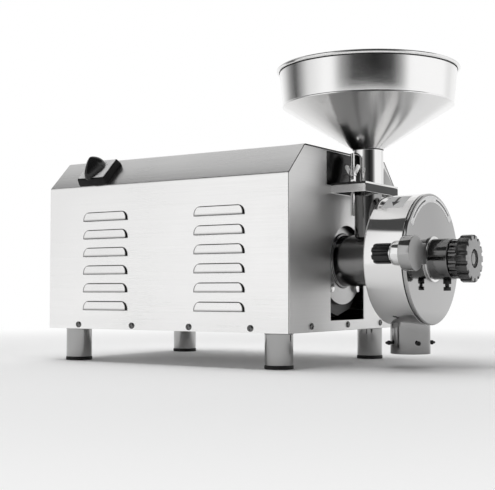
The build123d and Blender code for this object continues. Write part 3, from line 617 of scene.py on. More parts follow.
def makeLouvres():
    form = louvreForm()
    hoods = []
    for side in (-1, 1):
        spin = Matrix.Rotation(0 if side < 0 else pi, 4, "Z")
        for column in (-1, 1):
            start = at(casingMiddle + column * louvre["column"], side * casing["half"], louvre["lowest"])
            hoods.append(copies("hoods", rowTree, form, hoodSteel, Matrix.Translation(start) @ spin,
                                Count=louvre["rows"], Step=(0, 0, louvre["pitch"] * mm)))
    bpy.data.objects.remove(form)
    settle(joined("louvreHoods", hoods), "chassis", "casing_steel")


def makePanels():
    for end in ("head", "tail"):
        node = end + "_end_panel"
        panel = eased(node, end + "Panel", panelSteel, casing["panelEdge"], shade=10)
        settle(panel, "chassis", "casing_steel", node)


makeCasing()
makeLouvres()
makePanels()
print("casing done")


# screws, legs and pads

screw = {
    "head": 4.5, "rise": 2.4, "edge": 0.35, "slot": 1.0, "slotLength": 5.4, "slotDepth": 1.3,
    "rowX": 151.5, "rowZ": 54.0, "rowCount": 4, "rowPitch": 101.0,
    "endY": 103.0, "endZ": 56.0, "endCount": 3, "endPitch": 103.0,
}
leg = {
    "radius": 19.0, "low": 5.0, "high": 48.0, "pad": 19.6, "insetX": 32.7, "insetY": 30.0,
    "cuff": 0.7, "cuffLow": 2.2, "cuffFull": 1.4, "edge": 0.8, "padEdge": 1.2,
}


def screwForm():
    head, rise, edge = screw["head"], screw["rise"], screw["edge"]
    dome = [(0, 0), (head, 0), (head, rise * edge)]
    for angle in (18, 36, 54, 72):
        a = radians(angle)
        dome.append((head * cos(a), rise * (edge + (1 - edge) * sin(a))))
    dome.append((0, rise))
    form = atOrigin(turned("screwForm", dome, "Z", (0, 0), 28))
    u, v = screw["slotLength"] / 2, screw["slot"] / 2
    origin = (0, 0, rise - screw["slotDepth"])
    for bar in (rectangle(-u, -v, u, v), rectangle(-v, -u, v, u)):
        cut(form, atOrigin(slab("slot", bar, origin, (1, 0, 0), (0, 1, 0), 2 * rise)))
    return shaded(form, screwSteel, 35)


def makeScrews():
    form = screwForm()
    rows = []
    for side in (-1, 1):
        start = at(casingMiddle - screw["rowX"], side * casing["half"], screw["rowZ"])
        face = Matrix.Translation(start) @ Matrix.Rotation(-side * pi / 2, 4, "X")
        rows.append(copies("row", rowTree, form, screwSteel, face,
                           Count=screw["rowCount"], Step=(screw["rowPitch"] * mm, 0, 0)))
    for x, turn in ((casing["tail"], -pi / 2), (casing["head"], pi / 2)):
        face = Matrix.Translation(at(x, -screw["endY"], screw["endZ"])) @ Matrix.Rotation(turn, 4, "Y")
        rows.append(copies("row", rowTree, form, screwSteel, face,
                           Count=screw["endCount"], Step=(0, screw["endPitch"] * mm, 0)))
    bpy.data.objects.remove(form)
    settle(joined("casingScrews", rows), "chassis", "plain_steel", "casing_screws")


def makeLegs():
    r, low, high, padEdge = leg["radius"], leg["low"], leg["high"], leg["padEdge"]
    wide = r + leg["cuff"]  # the tube is a little wider under the tray
    tube = [(0, low), (r, low, leg["edge"]), (r, high - leg["cuffLow"]), (wide, high - leg["cuffFull"]),
            (wide, high), (0, high)]
    pad = [(0, 0), (leg["pad"], 0, padEdge), (leg["pad"], low, padEdge), (0, low)]
    tubes = []
    pads = []
    for x in (casing["tail"] + leg["insetX"], casing["head"] - leg["insetX"]):
        for y in (-1, 1):
            centre = (x, y * (casing["half"] - leg["insetY"]))
            tubes.append(shaded(turned("tube", softened(tube, 0.3), "Z", centre, 64), legSteel))
            pads.append(shaded(turned("pad", softened(pad), "Z", centre, 64), blackRubber))
    settle(joined("legTubes", tubes), "chassis", "polished_steel", "legs")
    settle(joined("legPads", pads), "chassis", "black_rubber", "leg_pads")


makeScrews()
makeLegs()
print("screws and legs done")


# rotary switch on the slope

switch = {
    "x": -212.0, "width": 55.0, "length": 47.0, "height": 10.5, "foot": 1.5, "inset": 1.6, "corner": 3.0,
    "bevel": 0.9, "plate": 1.0, "edge": 1.8, "plateCorner": 2.0, "plateBevel": 0.25, "drop": 3.5,
    "round": 14.5, "tip": 4.8, "reach": 21.5, "low": 11.8, "rise": 21.5, "narrowing": 1.15,
    # the handle's outline: share of its rise, and its size there
    "levels": [(0.0, 1.0), (0.05, 1.04), (0.10, 1.05), (0.26, 1.03), (0.42, 0.95), (0.58, 0.82), (0.74, 0.62),
               (0.88, 0.38), (0.96, 0.20), (1.0, 0.06)],
    # ticks: angle and length
    "ticks": {-60: 2.52, -40: 1.56, -20: 1.56, 0: 2.52, 20: 1.56, 40: 1.56, 60: 2.52},
    "tickGap": 1.0, "tickHalf": 0.45, "tickRise": 0.12, "tickSink": 0.05,
}
slopeUp = Vector((0, 1, 1)).normalized()
slopeOut = Vector((0, -1, 1)).normalized()
slopeMiddle = Vector((switch["x"], casing["run"] / 2 - casing["half"], casing["fold"] + casing["run"] / 2))
slopeLength = casing["run"] * sqrt(2)
switchMiddle = slopeMiddle + slopeUp * (switch["drop"] + switch["length"] / 2 - slopeLength / 2)


def onSlope(u, v, w):
    return tuple(switchMiddle + Vector((u, 0, 0)) + slopeUp * v + slopeOut * w)


# skin over rings of points, capped at both ends, or run back to the first ring
def loop(rings, closed=False):
    count = len(rings[0])
    levels = len(rings)
    faces = [] if closed else [tuple(range(count)), tuple(range((levels - 1) * count, levels * count))]
    for level in range(levels if closed else levels - 1):
        here = level * count
        there = (level + 1) % levels * count
        for i in range(count):
            j = (i + 1) % count
            faces.append((here + i, here + j, there + j, there + i))
    return [point for ring in rings for point in ring], faces


# the handle's outline: a large arc and a small one, with straight sides between
def pear(steps=40):
    lean = (switch["round"] - switch["tip"]) / switch["reach"]
    ring = []
    for step in range(steps):
        a = 2 * pi * step / steps
        if sin(a) > -lean:
            ring.append((switch["round"] * cos(a), switch["round"] * sin(a)))
        else:
            ring.append((switch["tip"] * cos(a), switch["tip"] * sin(a) - switch["reach"]))
    return ring


def makeSwitch():
    s = switch
    w, l = s["width"] / 2, s["length"] / 2
    rings = []
    for inset, height in ((0, 0), (0, s["foot"]), (s["inset"], s["height"])):
        corners = softened(rectangle(inset - w, inset - l, w - inset, l - inset), s["corner"], 4)
        rings.append([onSlope(x, y, height) for x, y in corners])
    base = softenEdges(solid("switchBase", *loop(rings)), s["bevel"], 3, 30)
    settle(shaded(base, blackPlastic), "chassis", "black_plastic", "switch_base")
    edge = s["inset"] + s["edge"]
    corners = softened(rectangle(edge - w, edge - l, w - edge, l - edge), s["plateCorner"], 4)
    origin = onSlope(0, 0, s["height"])
    plate = slab("switchPlate", corners, origin, (1, 0, 0), slopeUp, s["plate"], s["plateBevel"])
    settle(shaded(plate, plateGrey), "chassis", "grey_plate", "switch_plate")
    right = Vector((1, 0, 0))
    marks = []
    for angle, size in s["ticks"].items():
        a = radians(angle)
        across = right * cos(a) + slopeUp * sin(a)
        up = slopeUp * cos(a) - right * sin(a)
        level = s["height"] + s["plate"] - s["tickSink"]
        foot = switchMiddle + up * (s["round"] + s["tickGap"]) + slopeOut * level
        bar = rectangle(-s["tickHalf"], 0, s["tickHalf"], size)
        marks.append(shaded(slab("tick", bar, foot, across, up, s["tickRise"]), inkBlack))
    settle(joined("switchTicks", marks), "chassis", "black_plastic")
    rings = []
    for rise, share in s["levels"]:
        height = s["low"] + s["rise"] * rise
        rings.append([onSlope(x * share ** s["narrowing"], y * share, height) for x, y in pear()])
    handle = shaded(solid("switchHandle", *loop(rings)), glossPlastic, 50)
    settle(handle, "switch_knob", "black_plastic", "switch_handle")


makeSwitch()
print("switch done")


# hopper, its flange, shelf, inlet and wing nuts

hopper = {
    "x": 158.8, "top": 416.4, "rim": 128.8, "bead": 2.6, "mouth": 124.6, "skirt": 119.8, "skirtLow": 362.3,
    "coneLow": 301.7, "neck": 21.4, "seam": 1.7, "foot": 249.8, "sheet": 1.4,
    "lip": 6.4, "lipInside": 3.5, "creaseHigh": 4.3, "beadLow": 6.0, "beadIn": 3.4,  # down or in from the rim
    "clear": 3.3,  # a little over the flange's thickness
}
# thin dark plate behind the neck, put there as painted shade
shadeSheet = {"half": 60.0, "low": 250.0, "high": 296.5, "thick": 0.5, "sink": 0.05, "corner": 1.0, "bevel": 0.12}
inlet = {"radius": 19.4, "bore": 17.6, "low": 178.0, "high": 247.5}
stud = {
    "x": 155.0, "y": 40.0, "radius": 3.0, "low": 206.0, "high": 293.0,
    "pitch": 1.0, "thread": 0.28, "point": 0.6,
}
wing = {
    "low": 261.92, "hub": 5.5, "hubRise": 7.0, "flare": 0.4, "taper": 1.0, "gap": 0.06,
    "thick": 4.0, "bevel": 1.4,
    # one leaf: across, up, corner radius
    "leaf": [(3.3, 2.0, 0.2), (5.6, 2.0, 1.0), (11.0, 11.6, 1.6), (10.4, 14.6, 1.6),
             (7.4, 15.0, 1.6), (3.3, 6.6, 0.5)],
}


def hopperProfile():
    h = hopper
    wall, neck, skirt = h["sheet"], h["neck"], h["skirt"]
    seamLow, seamHigh, fold = h["coneLow"] - h["seam"], h["coneLow"], h["skirtLow"]
    outside = [(neck - wall, h["foot"]), (neck, h["foot"]), (neck, seamLow - 0.5), (neck, seamLow),
               (neck + 0.3, seamHigh - 0.1), (neck + 0.9, seamHigh + 0.7)]
    # a small bead where the cone meets the skirt
    outside += [(skirt - 1.3, fold - 0.9), (skirt + 0.5, fold + 0.1), (skirt + 0.5, fold + 1.2),
                (skirt, fold + 2.2), (h["mouth"], h["top"] - h["lip"])]
    bead = []
    for angle in range(-140, 171, 31):
        a = radians(angle)
        bead.append((h["rim"] - h["bead"] * (1 - cos(a)), h["top"] - h["bead"] * (1 - sin(a))))
    inside = [(h["mouth"] - wall, h["top"] - h["lipInside"]), (skirt - wall, fold + 2.0),
              (neck - wall, seamHigh + wall)]
    return outside + bead + inside


def makeHopper():
    h = hopper
    bowl = shaded(turned("hopperBowl", hopperProfile(), "Z", (h["x"], 0), 144), hopperSteel, 24)
    middle = at(h["x"], 0, h["top"])
    slack = 0.2  # so that a face near a limit falls on the right side of it
    coneLow, coneHigh, beadIn = h["coneLow"] + slack, h["skirtLow"] - slack, h["rim"] - h["beadIn"]

    def rise(face):
        return face.center.z / mm

    def drop(face):
        return h["top"] - rise(face)

    def reach(face):
        return (face.center - middle).xy.length / mm

    def underBead(face):
        return h["lip"] > drop(face) > h["creaseHigh"] and reach(face) < h["mouth"]

    repaint(bowl, coneSteel, lambda face: rise(face) < coneHigh and face.normal.z < 0)
    repaint(bowl, neckSteel, lambda face: rise(face) < coneLow)
    # painted shadow: a dark line where the neck meets the cone
    repaint(bowl, paintedShadowSteel, lambda face: h["coneLow"] - h["seam"] < rise(face) < coneLow)
    repaint(bowl, rimSteel, lambda face: drop(face) < h["beadLow"] and reach(face) > beadIn)
    repaint(bowl, paintedShadowSteel, underBead)  # painted shadow: dark line under the bead
    settle(bowl, "hopper", "polished_steel", "hopper_bowl")
    flange = eased("hopper_flange", "hopperFlange", blackOxide, 0.4)
    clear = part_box("hopper_shelf")[1][2] + h["clear"] * mm
    repaint(flange, inletSteel, lambda face: face.center.z > clear)  # bare gusset
    repaint(flange, zincSteel, lambda face: face.center.z <= clear and face.normal.x > 0.7)  # painted highlight: the end edge that looks along +X is made bright
    settle(flange, "hopper", "black_steel", "hopper_flange")


def makeShelf():
    shelf = eased("hopper_shelf", "hopperShelf", foldSteel, 0.9, 3, shade=10)
    # painted shade: the shelf's end face that looks along +X is made black
    repaint(shelf, blackOxide, lambda face: face.normal.x > 0.8)
    settle(shelf, "chassis", "polished_steel", "hopper_shelf")
    p = shadeSheet
    corners = softened(rectangle(-p["half"], p["low"], p["half"], p["high"]), p["corner"])
    origin = (casing["head"] - p["sink"], 0, 0)
    back = slab("splashPlate", corners, origin, (0, 1, 0), (0, 0, 1), p["thick"], p["bevel"])
    settle(shaded(back, shadeSheetSteel), "chassis", "black_steel")
    tube = rectangle(inlet["bore"], inlet["low"], inlet["radius"], inlet["high"])
    pipe = shaded(turned("feedInlet", tube, "Z", (hopper["x"], 0), 72), inletSteel)
    settle(pipe, "chassis", "polished_steel", "feed_inlet")


def wingNut(side):
    x, y = stud["x"], side * stud["y"]
    low, high = wing["low"], wing["low"] + wing["hubRise"]
    bore, foot, neck = stud["radius"] + wing["gap"], wing["hub"] + wing["flare"], wing["hub"] - wing["taper"]
    hubForm = softened([(bore, low), (foot, low), (neck, high), (bore, high)], 0.5)
    parts = [turned("hub", hubForm, "Z", (x, y), 36)]
    origin = (x, y + wing["thick"] / 2, low)
    for way in (-1, 1):
        leaf = softened([(way * u, v, corner) for u, v, corner in wing["leaf"]], steps=4)
        parts.append(slab("leaf", leaf, origin, (1, 0, 0), (0, 0, 1), wing["thick"], wing["bevel"], 3))
    for part in parts:
        shaded(part, wingSteel, 40)
    return joined("wingNut" + ("Front" if side < 0 else "Rear"), parts)


def makeStuds():
    r, pitch = stud["radius"], stud["pitch"]
    rod = [(0, stud["low"])]
    z = stud["low"]
    while z < stud["high"] - pitch:  # thread ridges
        rod += [(r - stud["thread"], z), (r, z + pitch / 2)]
        z += pitch
    rod += [(r - stud["point"], stud["high"]), (0, stud["high"])]
    rods = []
    for side, name in ((-1, "front"), (1, "rear")):
        rods.append(shaded(turned("rod", rod, "Z", (stud["x"], side * stud["y"]), 20), zincSteel, 60))
        settle(wingNut(side), "wing_nut_" + name, "plain_steel", "wing_nut_" + name)
        collar = eased("wing_collar_" + name, "wingCollar" + name.title(), zincSteel, 0.4)
        settle(collar, "wing_collar_" + name, "plain_steel", "wing_collar_" + name)
    settle(joined("hopperStuds", rods), "chassis", "plain_steel", "hopper_studs")
    settle(eased("stud_nuts", "studNuts", zincSteel, 0.5), "chassis", "plain_steel", "stud_nuts")


makeHopper()
makeShelf()
makeStuds()
print("hopper done")


# feed barrel, drum and spout; a third number in a profile is that corner's radius

barrel = {
    "radius": 36.0, "bore": 30.0, "rear": 108.5, "face": 117.5, "front": 200.5, "flange": 62.5, "hole": 16.3,
    "shoulder": 3.0, "weld": 2.2, "weldRun": 3.4,
}
drum = {"radius": 89.0, "wall": 4.0, "rear": 194.5, "front": 249.5, "inside": 200.5, "bore": 36.06}
lug = {
    "y": 103.0, "z": 151.0, "radius": 16.0, "rear": 245.5, "face": 260.9, "bore": 5.06, "dome": 5.0,
    "gap": 0.2, "past": 5.0,
}
spout = {
    "x": 221.5, "radius": 27.0, "wall": 2.0, "low": 18.0, "high": 61.6, "holeLow": 30.0, "holeHigh": 90.0,
    "pegs": 4, "pegZ": 33.0, "pegSink": 0.1,
    "peg": [(0, 0), (2.0, 0), (2.0, 2.2), (3.0, 2.4, 0.4), (3.0, 5.4, 0.4), (2.1, 6.2),
            (1.4, 8.6, 0.5), (0, 9.0)],
}


def makeBarrel():
    b = barrel
    r, flat, shoulder = b["radius"], b["face"], b["shoulder"]
    profile = [(b["hole"], b["rear"]), (b["flange"], b["rear"], 1), (b["flange"], flat, 1.5),
               (r + shoulder, flat, 1), (r + b["weld"], flat + shoulder, 1), (r, flat + b["weldRun"], 1),
               (r, b["front"]), (b["bore"], b["front"]), (b["bore"], flat), (b["hole"], flat)]
    body = shaded(turned("feedBarrel", softened(profile), "X", spindleLine), barrelSteel)
    repaint(body, flangeSteel, lambda face: face.center.x < (flat + 0.5) * mm)
    settle(body, "chassis", "polished_steel", "feed_barrel")
    settle(eased("barrel_bolts", "barrelBolts", zincSteel, 0.6), "chassis", "plain_steel", "barrel_bolts")


def makeDrum():
    d, g = drum, lug
    r, bore = d["radius"], d["radius"] - d["wall"]
    profile = [(d["bore"], d["rear"]), (r, d["rear"], 2.5), (r, d["front"], 0.7), (bore, d["front"], 0.5),
               (bore, d["inside"], 2.0), (d["bore"], d["inside"])]
    shell = turned("millDrum", softened(profile, steps=5), "X", spindleLine, 144)
    hole = rectangle(0, spout["holeLow"], spout["radius"] - spout["wall"], spout["holeHigh"])
    cut(shell, turned("hole", hole, "Z", (spout["x"], 0), 72))
    parts = [shaded(shell, drumSteel, 30)]
    boss = [(g["bore"], g["rear"]), (g["radius"], g["rear"], g["dome"]), (g["radius"], g["face"], 0.8),
            (g["bore"], g["face"])]
    room = rectangle(0, g["rear"] - g["past"], r + g["gap"], g["face"] + g["past"])
    for side in (-1, 1):
        form = turned("lug", softened(boss, steps=4), "X", (side * g["y"], g["z"]), 56)
        cut(form, turned("trim", room, "X", spindleLine, 144))
        parts.append(shaded(form, drumSteel, 30))
    settle(joined("millDrum", parts), "chassis", "polished_steel", "mill_drum")


def makeSpout():
    s = spout
    bore = s["radius"] - s["wall"]
    tube = [(bore, s["low"]), (s["radius"], s["low"], 0.6), (s["radius"], s["high"]), (bore, s["high"])]
    pipe = shaded(turned("dischargeSpout", softened(tube), "Z", (s["x"], 0), 80), spoutSteel)
    settle(pipe, "chassis", "polished_steel", "discharge_spout")
    form = shaded(atOrigin(turned("pegForm", softened(s["peg"]), "X", (0, 0), 20)), blackOxide)
    place = Matrix.Translation(at(s["x"], 0, s["pegZ"])) @ Matrix.Rotation(pi / 4, 4, "Z")
    pegs = copies("bagPegs", ringTree, form, blackOxide, place,
                  Count=s["pegs"], Radius=(s["radius"] - s["pegSink"]) * mm)
    bpy.data.objects.remove(form)
    settle(shaded(pegs, blackOxide), "chassis", "black_steel", "bag_pegs")


makeBarrel()
makeDrum()
makeSpout()
print("drum done")


# cover, hub, knob and clamps

cover = {
    "rear": 251.0, "face": 255.5, "radius": 89.0, "bore": 17.8, "edge": 1.4,
    "gasketIn": 5.0, "gasketOut": 0.3, "gasket": 1.2,
}
ear = {
    "radius": 22.5, "rear": 261.2, "face": 277.2, "bore": 5.06, "bored": 272.9,
    "footIn": 64.0, "footOut": 85.0, "footHalf": 14.0, "step": 3.0, "sink": 0.2,
}
hub = {
    "radius": 27.5, "foot": 31.0, "footRise": 3.0, "face": 285.5, "bore": 15.06,
    "thread": 11.06, "threadRun": 16.0,
}
knob = {
    "rear": 286.0, "step": 298.0, "face": 314.2, "radius": 32.0, "root": 27.4, "lobes": 14, "share": 0.64,
    "corner": 1.2, "plate": 1.7, "plateShare": 0.60, "plateRise": 0.3, "plateSink": 0.6,
    "pocket": 12.6, "floor": 8.0,
    "collar": 26.4, "collarRoot": 24.2, "ribs": 16, "ribShare": 0.5, "ribCorner": 0.7,
}
ringNut = {"radius": 11.8, "root": 9.8, "lobes": 10, "share": 0.56, "corner": 0.5, "bore": 8.06}
screwTip = {"radius": 8.0, "rear": 9.0, "front": 1.0, "edge": 0.8}  # how far behind the knob's face
clamp = {
    "radius": 13.5, "root": 10.0, "lobes": 7, "share": 0.56, "corner": 0.9, "rear": 219.14, "front": 243.14,
    "stud": 5.0, "sink": 1.0, "tip": 272.9,
    "washer": 11.0, "bore": 5.06, "washerRear": 243.2, "washerFront": 245.2,
}


def lobed(radius, root, lobes, share, corner):
    outline = []
    step = 2 * pi / lobes
    half = share * step / 2
    low, high = half * 1.05, half * 0.92  # each lobe is narrower at its top
    for i in range(lobes):
        for angle, reach in ((-low, root), (-high, radius), (high, radius), (low, root)):
            a = i * step + angle
            outline.append((reach * cos(a), reach * sin(a)))
    return softened(outline, corner)


# stations: place along X, how far the outline is drawn in there, and a radius where it is round
def gripped(name, outline, place, stations, finish, closed=False):
    rings = []
    widest = max(Vector(point).length for point in outline)
    for x, inset, radius in stations:
        ring = []
        for u, v in outline:
            share = radius / Vector((u, v)).length if radius else 1 - inset / widest
            ring.append((x, place[0] + u * share, place[1] + v * share))
        rings.append(ring)
    return shaded(solid(name, *loop(rings, closed)), finish, 38)


def ringPart(name, radius, bore, rear, face, finish, corner, steps, line=spindleLine):
    profile = softened([(bore, rear), (radius, rear, corner), (radius, face, corner), (bore, face)])
    return shaded(turned(name, profile, "X", line, steps), finish)


def makeCover():
    c, e = cover, ear
    r, flat, edge = c["radius"], c["face"], c["edge"]
    disc = [(c["bore"], c["rear"]), (r, c["rear"], 0.5), (r, flat - edge, 0.5), (r - edge, flat, 0.5),
            (c["bore"], flat)]
    parts = [shaded(turned("disc", softened(disc), "X", spindleLine, 144), coverSteel, 25)]
    boss = [(e["bore"], e["rear"]), (e["radius"], e["rear"], 1.0), (e["radius"], e["face"], 0.9),
            (0, e["face"]), (0, e["bored"]), (e["bore"], e["bored"])]
    base = flat - e["sink"]
    for side in (-1, 1):
        place = (side * lug["y"], lug["z"])
        parts.append(shaded(turned("ear", softened(boss), "X", place, 72), footSteel, 30))
        left, right = sorted((side * e["footIn"], side * e["footOut"]))
        foot = softened(rectangle(left, -e["footHalf"], right, e["footHalf"]), 3.0, 4)
        depth = e["face"] - e["step"] - base
        block = slab("foot", foot, (base, 0, lug["z"]), (0, 1, 0), (0, 0, 1), depth, 1.0, 3)
        parts.append(shaded(block, footSteel, 30))
    plate = joined("frontCover", parts)
    repaint(plate, earSteel, lambda face: abs(face.normal.x) < 0.6)
    settle(plate, "cover", "polished_steel", "front_cover")
    seal = ringPart("coverGasket", r - c["gasketOut"], r - c["gasketIn"], c["rear"] - c["gasket"], c["rear"],
                    blackRubber, 0.2, 120)
    settle(seal, "cover", "black_rubber", "cover_gasket")


def makeHub():
    h = hub
    r, low, high, front = h["radius"], cover["face"], cover["face"] + h["footRise"], h["face"]
    threadEnd = front - h["threadRun"]
    body = [(h["bore"], low), (h["foot"], low, 0.5), (h["foot"], high, 0.9), (r, high, 0.6), (r, front, 1.0),
            (h["thread"], front, 0.6), (h["thread"], threadEnd), (h["bore"], threadEnd)]
    boss = shaded(turned("adjusterHub", softened(body), "X", spindleLine), hubSteel, 30)
    repaint(boss, zincSteel, lambda face: face.center.x < (high + 0.1) * mm)
    settle(boss, "cover", "polished_steel", "adjuster_hub")
    settle(eased("lock_bolt", "lockBolt", blackOxide, 0.5), "cover", "black_steel", "lock_bolt")


def makeKnob():
    k, n = knob, ringNut
    rear, step, face, pocket = k["rear"], k["step"], k["face"], k["pocket"]
    floor, back, front = face - k["floor"], face - k["plateSink"], face + k["plateRise"]
    outline = lobed(k["collar"], k["collarRoot"], k["ribs"], k["ribShare"], k["ribCorner"])
    stations = [(rear, 0.8, 0), (rear + 0.8, 0, 0), (step, 0, 0)]
    settle(gripped("knobCollar", outline, spindleLine, stations, collarSteel), "adjuster", "plain_steel")
    outline = lobed(k["radius"], k["root"], k["lobes"], k["share"], k["corner"])
    stations = [(step, 2.4, 0), (step + 0.6, 0.9, 0), (step + 1.8, 0, 0), (face - 1.4, 0, 0),
                (face - 0.4, 0.5, 0), (face, 1.6, 0), (face, 0, pocket), (floor, 0, pocket)]
    grip = gripped("adjustKnob", outline, spindleLine, stations, knobPlastic)
    settle(grip, "adjuster", "black_plastic", "adjust_knob")
    wide, root = k["radius"] - k["plate"], k["root"] - k["plate"]
    outline = lobed(wide, root, k["lobes"], k["plateShare"], k["corner"])
    stations = [(back, 0, 0), (front - 0.15, 0, 0), (front, 0.2, 0), (front, 0, pocket), (back, 0, pocket)]
    plate = gripped("knobPlate", outline, spindleLine, stations, knobGrey, True)
    settle(plate, "adjuster", "grey_plate", "knob_plate")
    outline = lobed(n["radius"], n["root"], n["lobes"], n["share"], n["corner"])
    stations = [(floor, 0, 0), (face - 1.2, 0, 0), (back, 0.6, 0), (back, 0, n["bore"]),
                (floor, 0, n["bore"])]
    nut = gripped("ringNut", outline, spindleLine, stations, blackOxide, True)
    settle(nut, "adjuster", "black_steel", "knob_ring_nut")
    tip = ringPart("screwTip", screwTip["radius"], 0.0, face - screwTip["rear"], face - screwTip["front"],
                   barrelSteel, screwTip["edge"], 48)
    settle(tip, "adjuster", "plain_steel")


def makeClamps():
    g = clamp
    rear, front = g["rear"], g["front"]
    outline = lobed(g["radius"], g["root"], g["lobes"], g["share"], g["corner"])
    stations = [(rear, 3.0, 0), (rear + 0.7, 1.2, 0), (rear + 2.2, 0.2, 0), (rear + 4, 0, 0),
                (front - 1.2, 0, 0), (front - 0.3, 0.5, 0), (front, 1.4, 0)]
    for side, name in ((-1, "front"), (1, "rear")):
        place = (side * lug["y"], lug["z"])
        grip = gripped("grip", outline, place, stations, glossPlastic)
        rod = ringPart("rod", g["stud"], 0.0, front - g["sink"], g["tip"], zincSteel, 0.6, 32, place)
        piece = joined("clampKnob" + name.title(), [grip, rod])
        settle(piece, "clamp_knob_" + name, "black_plastic", "clamp_knob_" + name)
        washer = ringPart("clampWasher" + name.title(), g["washer"], g["bore"],
                          g["washerRear"], g["washerFront"], zincSteel, 0.4, 48, place)
        settle(washer, "clamp_washer_" + name, "plain_steel", "clamp_washer_" + name)


# plain marks: arc lines with arrow heads on the cover, an arrow on the drum; angles in degrees

band = {
    "inner": 77.0, "outer": 86.0, "from": 42.0, "to": 147.0, "sink": 0.02, "thick": 0.2,
    "lineHalf": 1.0, "lineFrom": 7.0, "lineTo": 40.0, "lift": 0.15, "ink": 0.1,
    "headAt": 4.0, "headHalf": 3.0, "headBack": -4.5, "headTip": 1.5,
}
sticker = {
    "rear": 208.0, "front": 238.0, "from": 18.0, "to": 41.0,
    "thick": 0.25, "strips": 14, "sink": 0.05, "lift": 0.12,
    "shaftHalf": 1.8, "headHalf": 5.5,
    "shaft": (0.14, 0.38, 0.60), "head": (0.58, 0.88),  # shares of the way round
}


def arcPlate(name, inner, outer, start, end, x, thick, finish, steps):
    ring = [(outer, start + (end - start) * i / steps) for i in range(steps + 1)]
    ring += [(inner, start + (end - start) * (steps - i) / steps) for i in range(steps + 1)]
    outline = [(r * cos(radians(a)), r * sin(radians(a))) for r, a in ring]
    return shaded(slab(name, outline, (x, 0, axisZ), (0, 1, 0), (0, 0, 1), thick), finish)


def makeBand():
    b = band
    low, high, half = b["from"], b["to"], b["lineHalf"]
    middle = (b["inner"] + b["outer"]) / 2
    level = cover["face"] + b["lift"]
    foot = cover["face"] - b["sink"]
    parts = [arcPlate("band", b["inner"], b["outer"], low, high, foot, b["thick"], stickerWhite, 60)]
    for start, end in ((low + b["lineFrom"], low + b["lineTo"]), (high - b["lineTo"], high - b["lineFrom"])):
        line = arcPlate("line", middle - half, middle + half, start, end, level, b["ink"], inkBlack, 20)
        parts.append(line)
    left, right, tip = (-b["headHalf"], b["headBack"]), (b["headHalf"], b["headBack"]), (0, b["headTip"])
    for angle, way in ((low + b["headAt"], -1), (high - b["headAt"], 1)):
        a = radians(angle)
        along = Vector((0, -sin(a), cos(a))) * way
        out = Vector((0, cos(a), sin(a)))
        foot = Vector((level, 0, axisZ)) + out * middle
        head = [left, right, tip] if way < 0 else [right, tip, left]
        parts.append(shaded(slab("head", head, foot, out, along, -b["ink"] * way), inkBlack))
    settle(joined("coverBand", parts), "cover", "grey_plate")


def drumPatch(name, outline, lift, finish):
    rings = []
    for level in (lift, lift + sticker["thick"]):
        r = drum["radius"] + level
        rings.append([(x, -r * sin(radians(angle)), axisZ + r * cos(radians(angle))) for x, angle in outline])
    return shaded(solid(name, *loop(rings)), finish)


def makeSticker():
    s = sticker
    middle = (s["rear"] + s["front"]) / 2

    def angle(share):
        return s["from"] + (s["to"] - s["from"]) * share

    parts = []
    for i in range(s["strips"]):
        strip = rectangle(s["rear"], angle(i / s["strips"]), s["front"], angle((i + 1) / s["strips"]))
        parts.append(drumPatch("strip", strip, -s["sink"], stickerWhite))
    for start, end in zip(s["shaft"], s["shaft"][1:]):
        bar = rectangle(middle - s["shaftHalf"], angle(start), middle + s["shaftHalf"], angle(end))
        parts.append(drumPatch("shaft", bar, s["lift"], inkBlack))
    low, high = (angle(share) for share in s["head"])
    head = [(middle - s["headHalf"], low), (middle + s["headHalf"], low), (middle, high)]
    parts.append(drumPatch("head", head, s["lift"], inkBlack))
    settle(joined("drumSticker", parts), "chassis", "grey_plate")


makeCover()
makeHub()
makeBand()
makeSticker()
makeKnob()
makeClamps()
print("cover and knobs done")


# inner pieces keep their own solids

innerPieces = {
    "base_tray": wallSteel, "tray_bolts": zincSteel, "cable_gland": blackPlastic,
    "motor_shell": castAlloy, "stator_core": coreSteel, "stator_windings": copperWire,
    "drive_end_bell": castAlloy, "fan_end_bell": castAlloy, "motor_bearings": zincSteel,
    "fan_cowl": blackOxide, "motor_cradle": blackOxide, "run_capacitors": castAlloy,
    "capacitor_clamp": zincSteel, "motor_shaft": zincSteel, "rotor_core": coreSteel,
    "cooling_fan": blackPlastic, "feed_auger": castIron, "rotating_disc": castIron,
    "disc_nut": zincSteel, "shaft_seal": blackRubber, "fixed_disc": castIron,
    "disc_carrier": castIron, "adjust_screw": zincSteel,
}
for node, finish in innerPieces.items():
    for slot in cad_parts[node].material_slots:
        slot.material = finish.material
print("inner pieces painted")


# floor, light and camera; floor and lamp in metres, bearings in degrees from the front

floorPaper = {
    "reach": 60.0, "low": 0.90, "high": 0.92, "clouds": 1.5, "rough": 0.9, "shine": 0.1,
    "fadeFrom": 0.55, "fadeTo": 1.5,
}
studio = {
    "tones": [(-180, 0.95), (-162, 1.0), (-128, 1.0), (-110, 0.7), (-96, 0.3), (-82, 0.06), (-70, 0.35),
              (-57, 0.75), (-44, 0.87), (-31, 1.0), (-20, 1.0), (-8, 0.35), (8, 0.06), (36, 0.012),
              (58, 0.05), (70, 0.35), (82, 1.0), (140, 1.0), (150, 0.85), (157, 0.8), (165, 0.9),
              (180, 0.95)],
    "roofBehind": 0.62, "roof": 0.07, "roofEdge": (-96, -88), "roofFrom": 0.66, "roofTo": 0.72,
}
overhead = {"place": (-0.2, -0.3, 2.6), "aim": (0, 0, 0.2), "size": (1.8, 1.4), "power": 40}
camera = {"x": 817.94, "y": -1310.24, "z": 102.08, "turn": 33.36, "lift": 2.58, "lens": 75.565, "sensor": 36}


